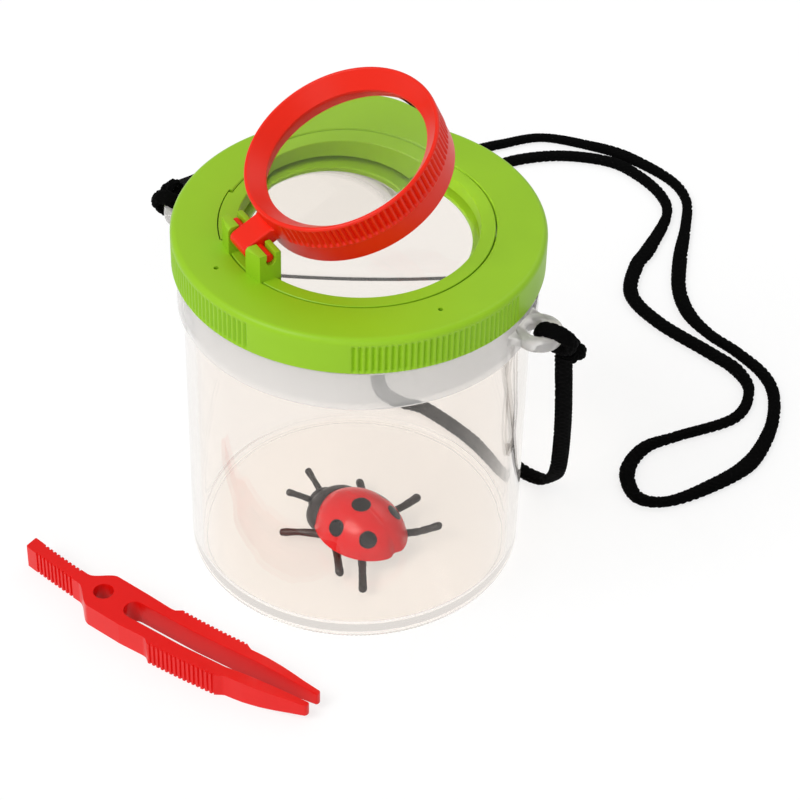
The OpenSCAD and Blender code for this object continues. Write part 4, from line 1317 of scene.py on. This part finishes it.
def frame_outline(m, lens):
    """The closed section of the magnifier's frame, measured from the hinge's height."""
    top, low = m.rise, m.rise - m.height
    grip = m.rise - m.grip_height
    rim = 0.6 * MM
    edge = 0.3 * MM
    glass = glass_height(m, lens)
    groove = lens.glass_edge / 2 + lens.seat_gap
    groove_r = lens.glass_radius + lens.seat_gap
    bead_r = groove_r - m.bead
    bead_low = glass - groove - m.bead_height
    outer = m.radius
    return (
        [(m.foot_bore + edge, low), (m.foot_radius - edge, low), (m.foot_radius, low + edge)]
        + [(outer - m.band_step, grip - 0.05 * MM)]
        + arc(outer - edge, grip + edge, edge, -60, 0, 3)
        + [(outer, grip + 0.8 * MM), (outer, grip + 1.2 * MM)]
        + [(outer, top - rim - 0.6 * MM), (outer, top - rim - 0.3 * MM)]
        + arc(outer - rim, top - rim, rim, 0, 90, 5)
        + arc(m.bore + m.flare + edge, top - edge, edge, 90, 160, 3)
        + [(m.bore, top - m.flare_height), (m.bore, glass + groove)]
        + [(groove_r, glass + groove), (groove_r, glass - groove), (bead_r, glass - groove)]
        + [(bead_r, bead_low + m.low_bore - bead_r), (m.low_bore, bead_low)]
        + [(m.foot_bore, low + edge)]
    )


def tab_body(m):
    """The hinge tab with its rounded tail and its pin, in the hinge's own frame."""
    tail, top, low = -3.8 * MM, m.tab_top, -1.6 * MM
    low_round, top_round, pin_round = 1.5 * MM, 1.8 * MM, 0.3 * MM
    end = m.hinge_gap + 2 * MM
    side = (
        [(end, low)]
        + arc(tail + low_round, low + low_round, low_round, 270, 180)
        + arc(tail + top_round, top - top_round, top_round, 180, 90, 8)
        + [(end, top)]
    )
    tab = slab("tab", side, -m.tab_half, m.tab_half)
    soften(tab, 0.5 * MM, 3, 50)
    place(tab, Matrix.Rotation(math.pi / 2, 4, "X"))
    flare_start, flare_end, flare = 2.6 * MM, m.hinge_gap + 1.4 * MM, 1.6 * MM
    sink = 0.4 * MM
    root_half = m.tab_half - sink
    one_side = [
        (flare_start + (flare_end - flare_start) * t, root_half + (flare + sink) * t**2)
        for t in np.linspace(0, 1, 9)
    ]
    other_side = [(x, -y) for x, y in reversed(one_side)]
    web = slab("web", one_side + other_side, low + 0.5 * MM, top - 0.25 * MM)
    soften(web, 0.4 * MM, 3, 60)
    combine(tab, web, "UNION")
    pin = lathe(
        "pin",
        [(0, -m.pin_half)]
        + arc(m.pin - pin_round, pin_round - m.pin_half, pin_round, -90, 0, 3)
        + arc(m.pin - pin_round, m.pin_half - pin_round, pin_round, 0, 90, 3)
        + [(0, m.pin_half)],
        40,
        closed=False,
    )
    place(pin, Matrix.Rotation(math.pi / 2, 4, "X"))
    combine(tab, pin, "UNION")
    return tab


def make_magnifier(jar, clear):
    """The red frame with its ribs, tab and pin, and the lens in it."""
    m, plan = jar.magnifier, LidPlan(jar)
    hinge = hinge_frame(jar, plan)
    columns = FRAME_RIBS * COLUMNS_PER_RIB
    ring = lathe("red_frame", frame_outline(m, jar.lens), columns, first=math.pi)
    grip = m.rise - m.grip_height
    rows = [
        (grip + 0.7 * MM, grip + 0.9 * MM, 0.6),
        (grip + 1.1 * MM, m.rise - 1.1 * MM, 1.0),
        (m.rise - 1.0 * MM, m.rise - 0.8 * MM, 0.6),
    ]
    ribbed(
        ring, math.pi, TURN / columns, FREE_RIBS * COLUMNS_PER_RIB, FRAME_RIBS - 2 * FREE_RIBS,
        m.grip_depth, m.radius, rows,
    )
    place(ring, Matrix.Translation((plan.hinge_reach, 0, 0)))
    combine(ring, tab_body(m), "UNION")
    place(ring, hinge)
    material = moulded_plastic("red_polypropylene", m.plastic, 0.36)
    finish_piece(ring, "magnifier", material, "magnifier_frame", smooth=32)

    s = jar.lens
    glass = glass_height(m, s)
    half = s.glass_edge / 2
    faces = []
    for open_r in (s.glass_radius - m.bead, m.bore - s.seat_gap):
        sag = s.glass_curve - math.sqrt(s.glass_curve**2 - open_r**2)
        faces.append(dome(open_r, sag, 16))
    outline = (
        [(r, glass - half - z) for r, z in faces[0]]
        + [(s.glass_radius, glass - half), (s.glass_radius, glass + half)]
        + [(r, glass + half + z) for r, z in reversed(faces[1])]
    )
    lens = lathe("magnifier_lens_acrylic", outline, 200, closed=False)
    place(lens, hinge @ Matrix.Translation((plan.hinge_reach, 0, 0)))
    finish_piece(lens, "magnifier", clear, "magnifier_lens", smooth=20)


# Tweezers

# Places along the tweezers as shares of their length
HANDLE_SHARE = 0.215
SHOULDER_SHARE = 0.293
HOLE_SHARE = 0.295
ROOT_SHARE = 0.41
PAD_SHARES = (0.52, 0.747)
TAPER_SHARE = 0.79
# Cuts across the arms that let their faces taper in height
TAPER_CUTS = 10
# Outer edge of an arm past its pad, as shares of the length and of the body's half width
ARM_SHARES = [(0.757, 0.93), (0.765, 0.88), (0.82, 0.85), (0.87, 0.78), (0.91, 0.69), (0.945, 0.60)]
# Outline of one rib: places along it and depths of its cut, as shares of its pitch and depth
RIB_SHARES = [(0.0, 0), (0.42, 0), (0.56, 0.85), (0.71, 1), (0.86, 0.85)]


def rib_edge(s, first, last, width_first, width_last):
    """A ribbed stretch of an edge, as (place along, half width) points."""
    count = round((last - first) / s.rib_pitch)
    points = []
    for i in range(count):
        for at, cut in RIB_SHARES:
            along = (i + at) / count
            half = width_first + (width_last - width_first) * along - cut * s.rib
            points.append((first + (last - first) * along, half))
    return points + [(last, width_last)]


def tweezer_edge(s):
    """One outer edge of the tweezers, from the tail to the tip."""
    full = s.length
    neck = HANDLE_SHARE * full
    shoulder = SHOULDER_SHARE * full
    pad, pad_end = (share * full for share in PAD_SHARES)
    swell = [
        (
            neck + (shoulder - neck) * t,
            s.handle_half + (s.body_half - s.handle_half) * (3 * t**2 - 2 * t**3),
        )
        for t in np.linspace(0, 1, 13)
    ]
    step_in = [
        (pad - 2.6 * MM, 0.94 * s.body_half),
        (pad - 1.5 * MM, 0.96 * s.body_half),
        (pad - 0.7 * MM, 0.4 * s.body_half + 0.57 * s.pad_half),
    ]
    tip_r = 0.8 * MM
    tip = arc(full - tip_r, s.tips_half - tip_r, tip_r, 70, 0, 5)
    return (
        [(0, s.handle_half - 0.3 * MM), (0.3 * MM, s.handle_half)]
        + rib_edge(s, 3.2 * MM, neck - 2.2 * MM, s.handle_half, s.handle_half)
        + swell
        + [(ROOT_SHARE * full, s.body_half)]
        + step_in
        + rib_edge(s, pad, pad_end - 0.6 * MM, s.pad_half, 0.94 * s.pad_half)
        + [(share * full, half * s.body_half) for share, half in ARM_SHARES]
        + tip
    )


def slot_edge(s):
    """The inner edge of an arm, from the tip back to the slot's round end."""
    full = s.length
    tip = arc(full - 0.5 * MM, s.tip_gap_half + 0.5 * MM, 0.5 * MM, 0, -90, 3)
    line = [(PAD_SHARES[1] * full, s.slot_half), (0.6 * full, s.slot_half)]
    return tip + line + arc(ROOT_SHARE * full, 0, s.slot_half, 90, 180, 14)


def bowed(s, points):
    """Bend an outline sideways along the tweezers' middle line."""
    return [(x, y - s.bow * 4 * x / s.length * (1 - x / s.length)) for x, y in points]


def rim_edges(piece):
    """Select the edges between the upper or lower face and the sides."""
    mesh = bmesh.from_edit_mesh(piece.data)
    for edge in mesh.edges:
        flats = [abs(face.normal.z) > 0.6 for face in edge.link_faces]
        edge.select_set(len(flats) == 2 and flats[0] != flats[1])
    bmesh.update_edit_mesh(piece.data)


def cut_away(piece, at, normal):
    """Keep the part of a piece behind a plane, and close the cut."""
    with editing(piece):
        bpy.ops.mesh.bisect(plane_co=at, plane_no=normal, use_fill=True, clear_outer=True)


def make_tweezers(s):
    """The tweezers as one moulding, parted where its arms start to bend."""
    upper = tweezer_edge(s) + slot_edge(s)
    lower = [(x, -y) for x, y in reversed(upper[:-1])]
    body = slab("tweezers", bowed(s, upper + lower), 0, s.height)
    hole_x = HOLE_SHARE * s.length
    hole = rod("hole", s.hole, -MM, s.height + MM, 64)
    place(hole, Matrix.Translation((hole_x, bowed(s, [(hole_x, 0)])[0][1], 0)))
    combine(body, hole, "DIFFERENCE")
    taper = TAPER_SHARE * s.length
    for i in range(TAPER_CUTS):
        with editing(body):
            x = taper + (s.length - taper) * (i + 0.01) / TAPER_CUTS
            bpy.ops.mesh.bisect(plane_co=(x, 0, 0), plane_no=(1, 0, 0))
    points = places(body)
    along = np.clip((points[:, 0] - taper) / (s.length - taper), 0, 1)
    share = 1 - (1 - s.tip_height / s.height) * along**1.5
    points[:, 2] = s.height / 2 + (points[:, 2] - s.height / 2) * share
    move_to(body, points)
    with editing(body):
        bpy.ops.mesh.select_mode(type="EDGE")
        rim_edges(body)
        bpy.ops.mesh.bevel(offset=0.22 * MM, segments=2, affect="EDGES", clamp_overlap=True)

    root_x = ROOT_SHARE * s.length
    root_y = bowed(s, [(root_x, 0)])[0][1]
    root, fork = (root_x, 0, 0), (root_x, root_y, 0)
    across = Vector((-root_y, root_x - s.length, 0)).normalized()
    parts = {
        "handle": [(root, (1, 0, 0))],
        "arm_left": [(root, (-1, 0, 0)), (fork, across)],
        "arm_right": [(root, (-1, 0, 0)), (fork, -across)],
    }
    lay_down = Matrix.Translation((s.tail_x, s.tail_y, 0)) @ Matrix.Rotation(s.direction, 4, "Z")
    material = moulded_plastic("red_polystyrene", s.plastic, 0.3)
    for name, cuts in parts.items():
        part = copy_of(body, f"tweezers_{name}")
        for at, normal in cuts:
            cut_away(part, at, normal)
        place(part, lay_down)
        rides_on = "tweezers" if name == "handle" else None
        finish_piece(part, rides_on, material, f"tweezer_{name}", smooth=32)
        if not rides_on:
            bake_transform(part)
    bpy.data.objects.remove(body)


# Ladybird

# Middles of the painted spots as shares of the shell's half length, half width and rise, and
# their radii in millimetres
SPOT_SHARES = [
    (-0.06, 0.06, 2.4),
    (0.01, 0.81, 2.2),
    (0.01, -0.81, 2.2),
    (-0.64, 0.52, 2.2),
    (-0.48, -0.58, 2.2),
]
# Hips, feet and feelers as shares of the shell's half length and half width
HIP_SHARES = {"front": (0.35, 0.66), "middle": (0.08, 0.74), "rear": (-0.43, 0.46)}
FOOT_SHARES = {
    ("front", "left"): (1.07, 1.34),
    ("middle", "left"): (-0.52, 1.3),
    ("rear", "left"): (-1.13, 1.26),
    ("front", "right"): (1.11, -1.29),
    ("middle", "right"): (-0.14, -1.77),
    ("rear", "right"): (-1, -1.44),
}
# Feet that are bent up off the floor, and their height as a share of a leg's radius
RAISED_FEET = {("middle", "right"), ("rear", "right")}
RAISED_SHARE = 3.2
FEELER_SHARES = {"left": ((1.17, 0.31), (1.55, 0.71)), "right": ((1.22, -0.07), (1.77, -0.23))}
# Radii along a leg and a feeler, from its root to its tip, as shares of its full radius
LEG_RADIUS_SHARES = np.array([1.0, 1.0, 0.92, 0.85, 0.95, 1.0])
FEELER_RADIUS_SHARES = np.array([0.9, 0.85, 0.85, 1.1])


def egg(name, half_sizes, middle, segments=96):
    """An egg-shaped body, started from a sphere."""
    let_go()
    bpy.ops.mesh.primitive_uv_sphere_add(segments=segments, ring_count=segments // 2, radius=1)
    piece = bpy.context.object
    piece.name = name
    place(piece, Matrix.Translation(middle) @ Matrix.Diagonal((*half_sizes, 1)))
    return piece


def wing_shell(s):
    """The domed shell with a faint middle seam, a notch at the tail and a turned-out lip."""
    lip_height, lip_share = 0.7 * MM, 0.02
    seam_width, seam_depth = 0.35 * MM, 0.12 * MM
    notch_width, notch_depth = 1.3 * MM, 0.9 * MM
    shell = egg("ladybird_shell", (s.half_length, s.half_width, s.rise), (0, 0, s.middle), 160)
    cut_away(shell, (0, 0, s.edge), (0, 0, -1))
    points = places(shell)
    x, y, z = points.T.copy()
    dome_share = np.clip((z - s.edge) / (s.middle + s.rise - s.edge), 0, 1)
    lip = np.exp(-(((z - s.edge) / lip_height) ** 2)) * (np.hypot(x, y) > 0.5 * s.half_width)
    out = 1 + lip_share * lip
    seam = np.exp(-((y / seam_width) ** 2)) * np.clip((0.55 * s.half_length - x) / (3 * MM), 0, 1)
    tail = np.clip((-x / s.half_length - 0.75) / 0.25, 0, 1)
    notch = np.exp(-((y / notch_width) ** 2)) * tail * (1 - 0.6 * dome_share)
    points[:, 0] = x * out + notch_depth * notch
    points[:, 1] = y * out
    points[:, 2] = z - seam_depth * seam * (z > s.edge + 0.1 * MM)
    move_to(shell, points)
    return shell


# Distance between a limb's rings, how far its lumps stand out as a share of its radius, and the
# seed that they are drawn from
LIMB_STEP = 0.35 * MM
LUMP_SHARE = 0.045
LUMP_SEED = 7


def limb(name, path, radii, rng):
    """A leg or feeler: a lumpy stick with round ends through a few points."""
    path = smooth_path(path, LIMB_STEP)
    along = walked(path)
    size = np.interp(along / along[-1], np.linspace(0, 1, len(radii)), radii)
    ends = np.minimum(along, along[-1] - along)
    cap = np.clip(ends / (0.9 * size), 0, 1)
    size = size * np.sqrt(np.clip(1 - (1 - cap) ** 2, 0.004, 1))
    lumps = rng.normal(0, 1, (len(path) // 3 + 2, 2))
    spots = np.linspace(0, along[-1], len(lumps))
    size = size * (1 + LUMP_SHARE * np.interp(along, spots, lumps[:, 0]))
    wide = np.cross(np.gradient(path, axis=0), UP)
    return sweep(name, path, wide, size, size * 0.94, 16)


def ladybird_belly(s):
    """The flat-topped belly plate under the shell."""
    sizes = (0.86 * s.half_length, 0.86 * s.half_width, s.belly)
    plate = egg("ladybird_belly", sizes, (0, 0, s.edge), 64)
    cut_away(plate, (0, 0, s.edge), (0, 0, 1))
    return plate


def ladybird_head(s):
    """The head and collar, hollowed to fit round the front of the shell."""
    head = egg(
        "ladybird_head", (0.47 * s.half_length, 0.8 * s.half_width, 0.58 * s.rise),
        (0.74 * s.half_length, 0, s.edge), 64,
    )
    face = egg(
        "face", (0.26 * s.half_length, 0.42 * s.half_width, 0.34 * s.rise),
        (1.08 * s.half_length, 0, s.edge), 64,
    )
    combine(head, face, "UNION")
    spare = 0.1 * MM
    hollow_sizes = [half + spare for half in (s.half_length, s.half_width, s.rise)]
    hollow = egg("hollow", hollow_sizes, (0, 0, s.middle))
    cut_away(hollow, (0, 0, s.edge - spare), (0, 0, -1))
    apply_modifier(head, "REMESH", mode="VOXEL", voxel_size=0.28 * MM)
    apply_modifier(head, "SMOOTH", factor=0.5, iterations=12)
    combine(head, hollow, "DIFFERENCE")
    cut_away(head, (0, 0, s.edge - s.belly), (0, 0, -1))
    return head


def leg_path(s, row, side, foot_share):
    """Hip, knee, ankle, foot and toe of a leg."""
    to_size = np.array([s.half_length, s.half_width])
    hip_z = s.edge - s.leg - 0.1 * MM
    foot_z = s.leg * (RAISED_SHARE if (row, side) in RAISED_FEET else 1)
    hip = np.append(np.array(HIP_SHARES[row]) * to_size, hip_z)
    hip[1] *= 1 if side == "left" else -1
    foot = np.append(np.array(foot_share) * to_size, foot_z)
    knee = hip + (foot - hip) * 0.5
    knee[2] = hip_z
    ankle = hip + (foot - hip) * 0.8
    ankle[2] = (hip_z + foot_z) / 2
    return [hip, knee, ankle, foot, np.append(1.05 * foot[:2], foot_z)]


def feeler_path(s, root_share, tip_share):
    """Root, middle and tip of a feeler."""
    to_size = np.array([s.half_length, s.half_width])
    root = np.append(np.array(root_share) * to_size, s.edge + 0.16 * s.rise)
    tip = np.append(np.array(tip_share) * to_size, s.middle + 0.4 * s.rise)
    middle = (root + tip) / 2
    middle[2] = tip[2] - s.feeler
    return [root, middle, tip]


def make_ladybird(s):
    """The toy ladybird: shell, belly, head, feelers and six legs."""
    on_floor = Matrix.Translation((s.place_x, s.place_y, settings().cup.floor))
    set_down = on_floor @ Matrix.Rotation(s.direction, 4, "Z")
    spots = []
    for x, y, radius in SPOT_SHARES:
        z = math.sqrt(max(0.0, 1 - x * x - y * y))
        middle = (x * s.half_length, y * s.half_width, s.middle + z * s.rise)
        spots.append((middle, radius * MM))
    enamel = spotted_enamel("glossy_enamel", list(s.shell), list(s.spots), spots, set_down)
    vinyl = soft_vinyl("soft_black_vinyl", s.vinyl)

    shell = wing_shell(s)
    place(shell, set_down)
    finish_piece(shell, "bug", enamel, "bug_shell", smooth=40)

    rng = np.random.default_rng(LUMP_SEED)
    dark = {"bug_belly": ladybird_belly(s), "bug_head": ladybird_head(s)}
    sizes = s.leg * LEG_RADIUS_SHARES
    for (row, side), foot_share in FOOT_SHARES.items():
        path = leg_path(s, row, side, foot_share)
        dark[f"leg_{row}_{side}"] = limb(f"ladybird_leg_{row}_{side}", path, sizes, rng)
    sizes = s.feeler * FEELER_RADIUS_SHARES
    for side, shares in FEELER_SHARES.items():
        path = feeler_path(s, *shares)
        dark[f"feeler_{side}"] = limb(f"ladybird_feeler_{side}", path, sizes, rng)
    for node, piece in dark.items():
        place(piece, set_down)
        finish_piece(piece, "bug", vinyl, node, smooth=60)


# Operators


class BUGJAR_OT_stage(Operator):
    """Add the camera, the pale floor and the soft boxes"""

    bl_idname = "bugjar.stage"
    bl_label = "Stage"

    def execute(self, context):
        make_stage(settings().stage)
        return {"FINISHED"}


class BUGJAR_OT_cord(Operator):
    """Braid the neck cord, its loops and its knots"""

    bl_idname = "bugjar.cord"
    bl_label = "Neck cord"

    def execute(self, context):
        make_cord(settings().cord, settings().cup)
        return {"FINISHED"}


class BUGJAR_OT_cup(Operator):
    """Turn the clear cup with its collar, ears and thread"""

    bl_idname = "bugjar.cup"
    bl_label = "Cup"

    def execute(self, context):
        make_cup(settings().cup, settings().thread)
        return {"FINISHED"}


class BUGJAR_OT_lid(Operator):
    """Turn the screw lid and the retainer ring with its hinge posts"""

    bl_idname = "bugjar.lid"
    bl_label = "Lid"

    def execute(self, context):
        material = make_lid(settings())
        make_retainer(settings(), material)
        return {"FINISHED"}


class BUGJAR_OT_lenses(Operator):
    """Turn the fixed lens, and the magnifier's frame and lens"""

    bl_idname = "bugjar.lenses"
    bl_label = "Lenses and magnifier"

    def execute(self, context):
        clear = make_fixed_lens(settings())
        make_magnifier(settings(), clear)
        return {"FINISHED"}


class BUGJAR_OT_tweezers(Operator):
    """Extrude the tweezers and part their arms"""

    bl_idname = "bugjar.tweezers"
    bl_label = "Tweezers"

    def execute(self, context):
        make_tweezers(settings().tweezers)
        return {"FINISHED"}


class BUGJAR_OT_ladybird(Operator):
    """Shape the toy ladybird on the cup's floor"""

    bl_idname = "bugjar.ladybird"
    bl_label = "Ladybird"

    def execute(self, context):
        make_ladybird(settings().ladybird)
        return {"FINISHED"}


OPERATORS = (
    BUGJAR_OT_stage,
    BUGJAR_OT_cord,
    BUGJAR_OT_cup,
    BUGJAR_OT_lid,
    BUGJAR_OT_lenses,
    BUGJAR_OT_tweezers,
    BUGJAR_OT_ladybird,
)


class BUGJAR_PT_panel(Panel):
    """Lists the steps that build the jar, with their settings"""

    bl_idname = "BUGJAR_PT_panel"
    bl_label = "Bug Catcher Jar"
    bl_space_type = "VIEW_3D"
    bl_region_type = "UI"
    bl_category = "Bug Jar"

    def draw(self, context):
        for operator in OPERATORS:
            self.layout.operator(operator.bl_idname)
        for name in GROUPS:
            group = getattr(context.scene.bug_jar, name)
            box = self.layout.box()
            box.label(text=name.title())
            for key in group.bl_rna.properties.keys():
                if key not in {"rna_type", "name"}:
                    box.prop(group, key)


CLASSES = (*GROUPS.values(), JarSettings, *OPERATORS, BUGJAR_PT_panel)


def register():
    """Register the classes and keep the settings on the scene."""
    for cls in CLASSES:
        bpy.utils.register_class(cls)
    bpy.types.Scene.bug_jar = PointerProperty(type=JarSettings)


def unregister():
    """Undo what register does."""
    del bpy.types.Scene.bug_jar
    for cls in reversed(CLASSES):
        bpy.utils.unregister_class(cls)


def main():
    """Build the stage and every piece in order."""
    register()
    bpy.ops.bugjar.stage()
    bpy.ops.bugjar.cord()
    bpy.ops.bugjar.cup()
    bpy.ops.bugjar.lid()
    bpy.ops.bugjar.lenses()
    bpy.ops.bugjar.tweezers()
    bpy.ops.bugjar.ladybird()


if __name__ == "__main__":
    main()
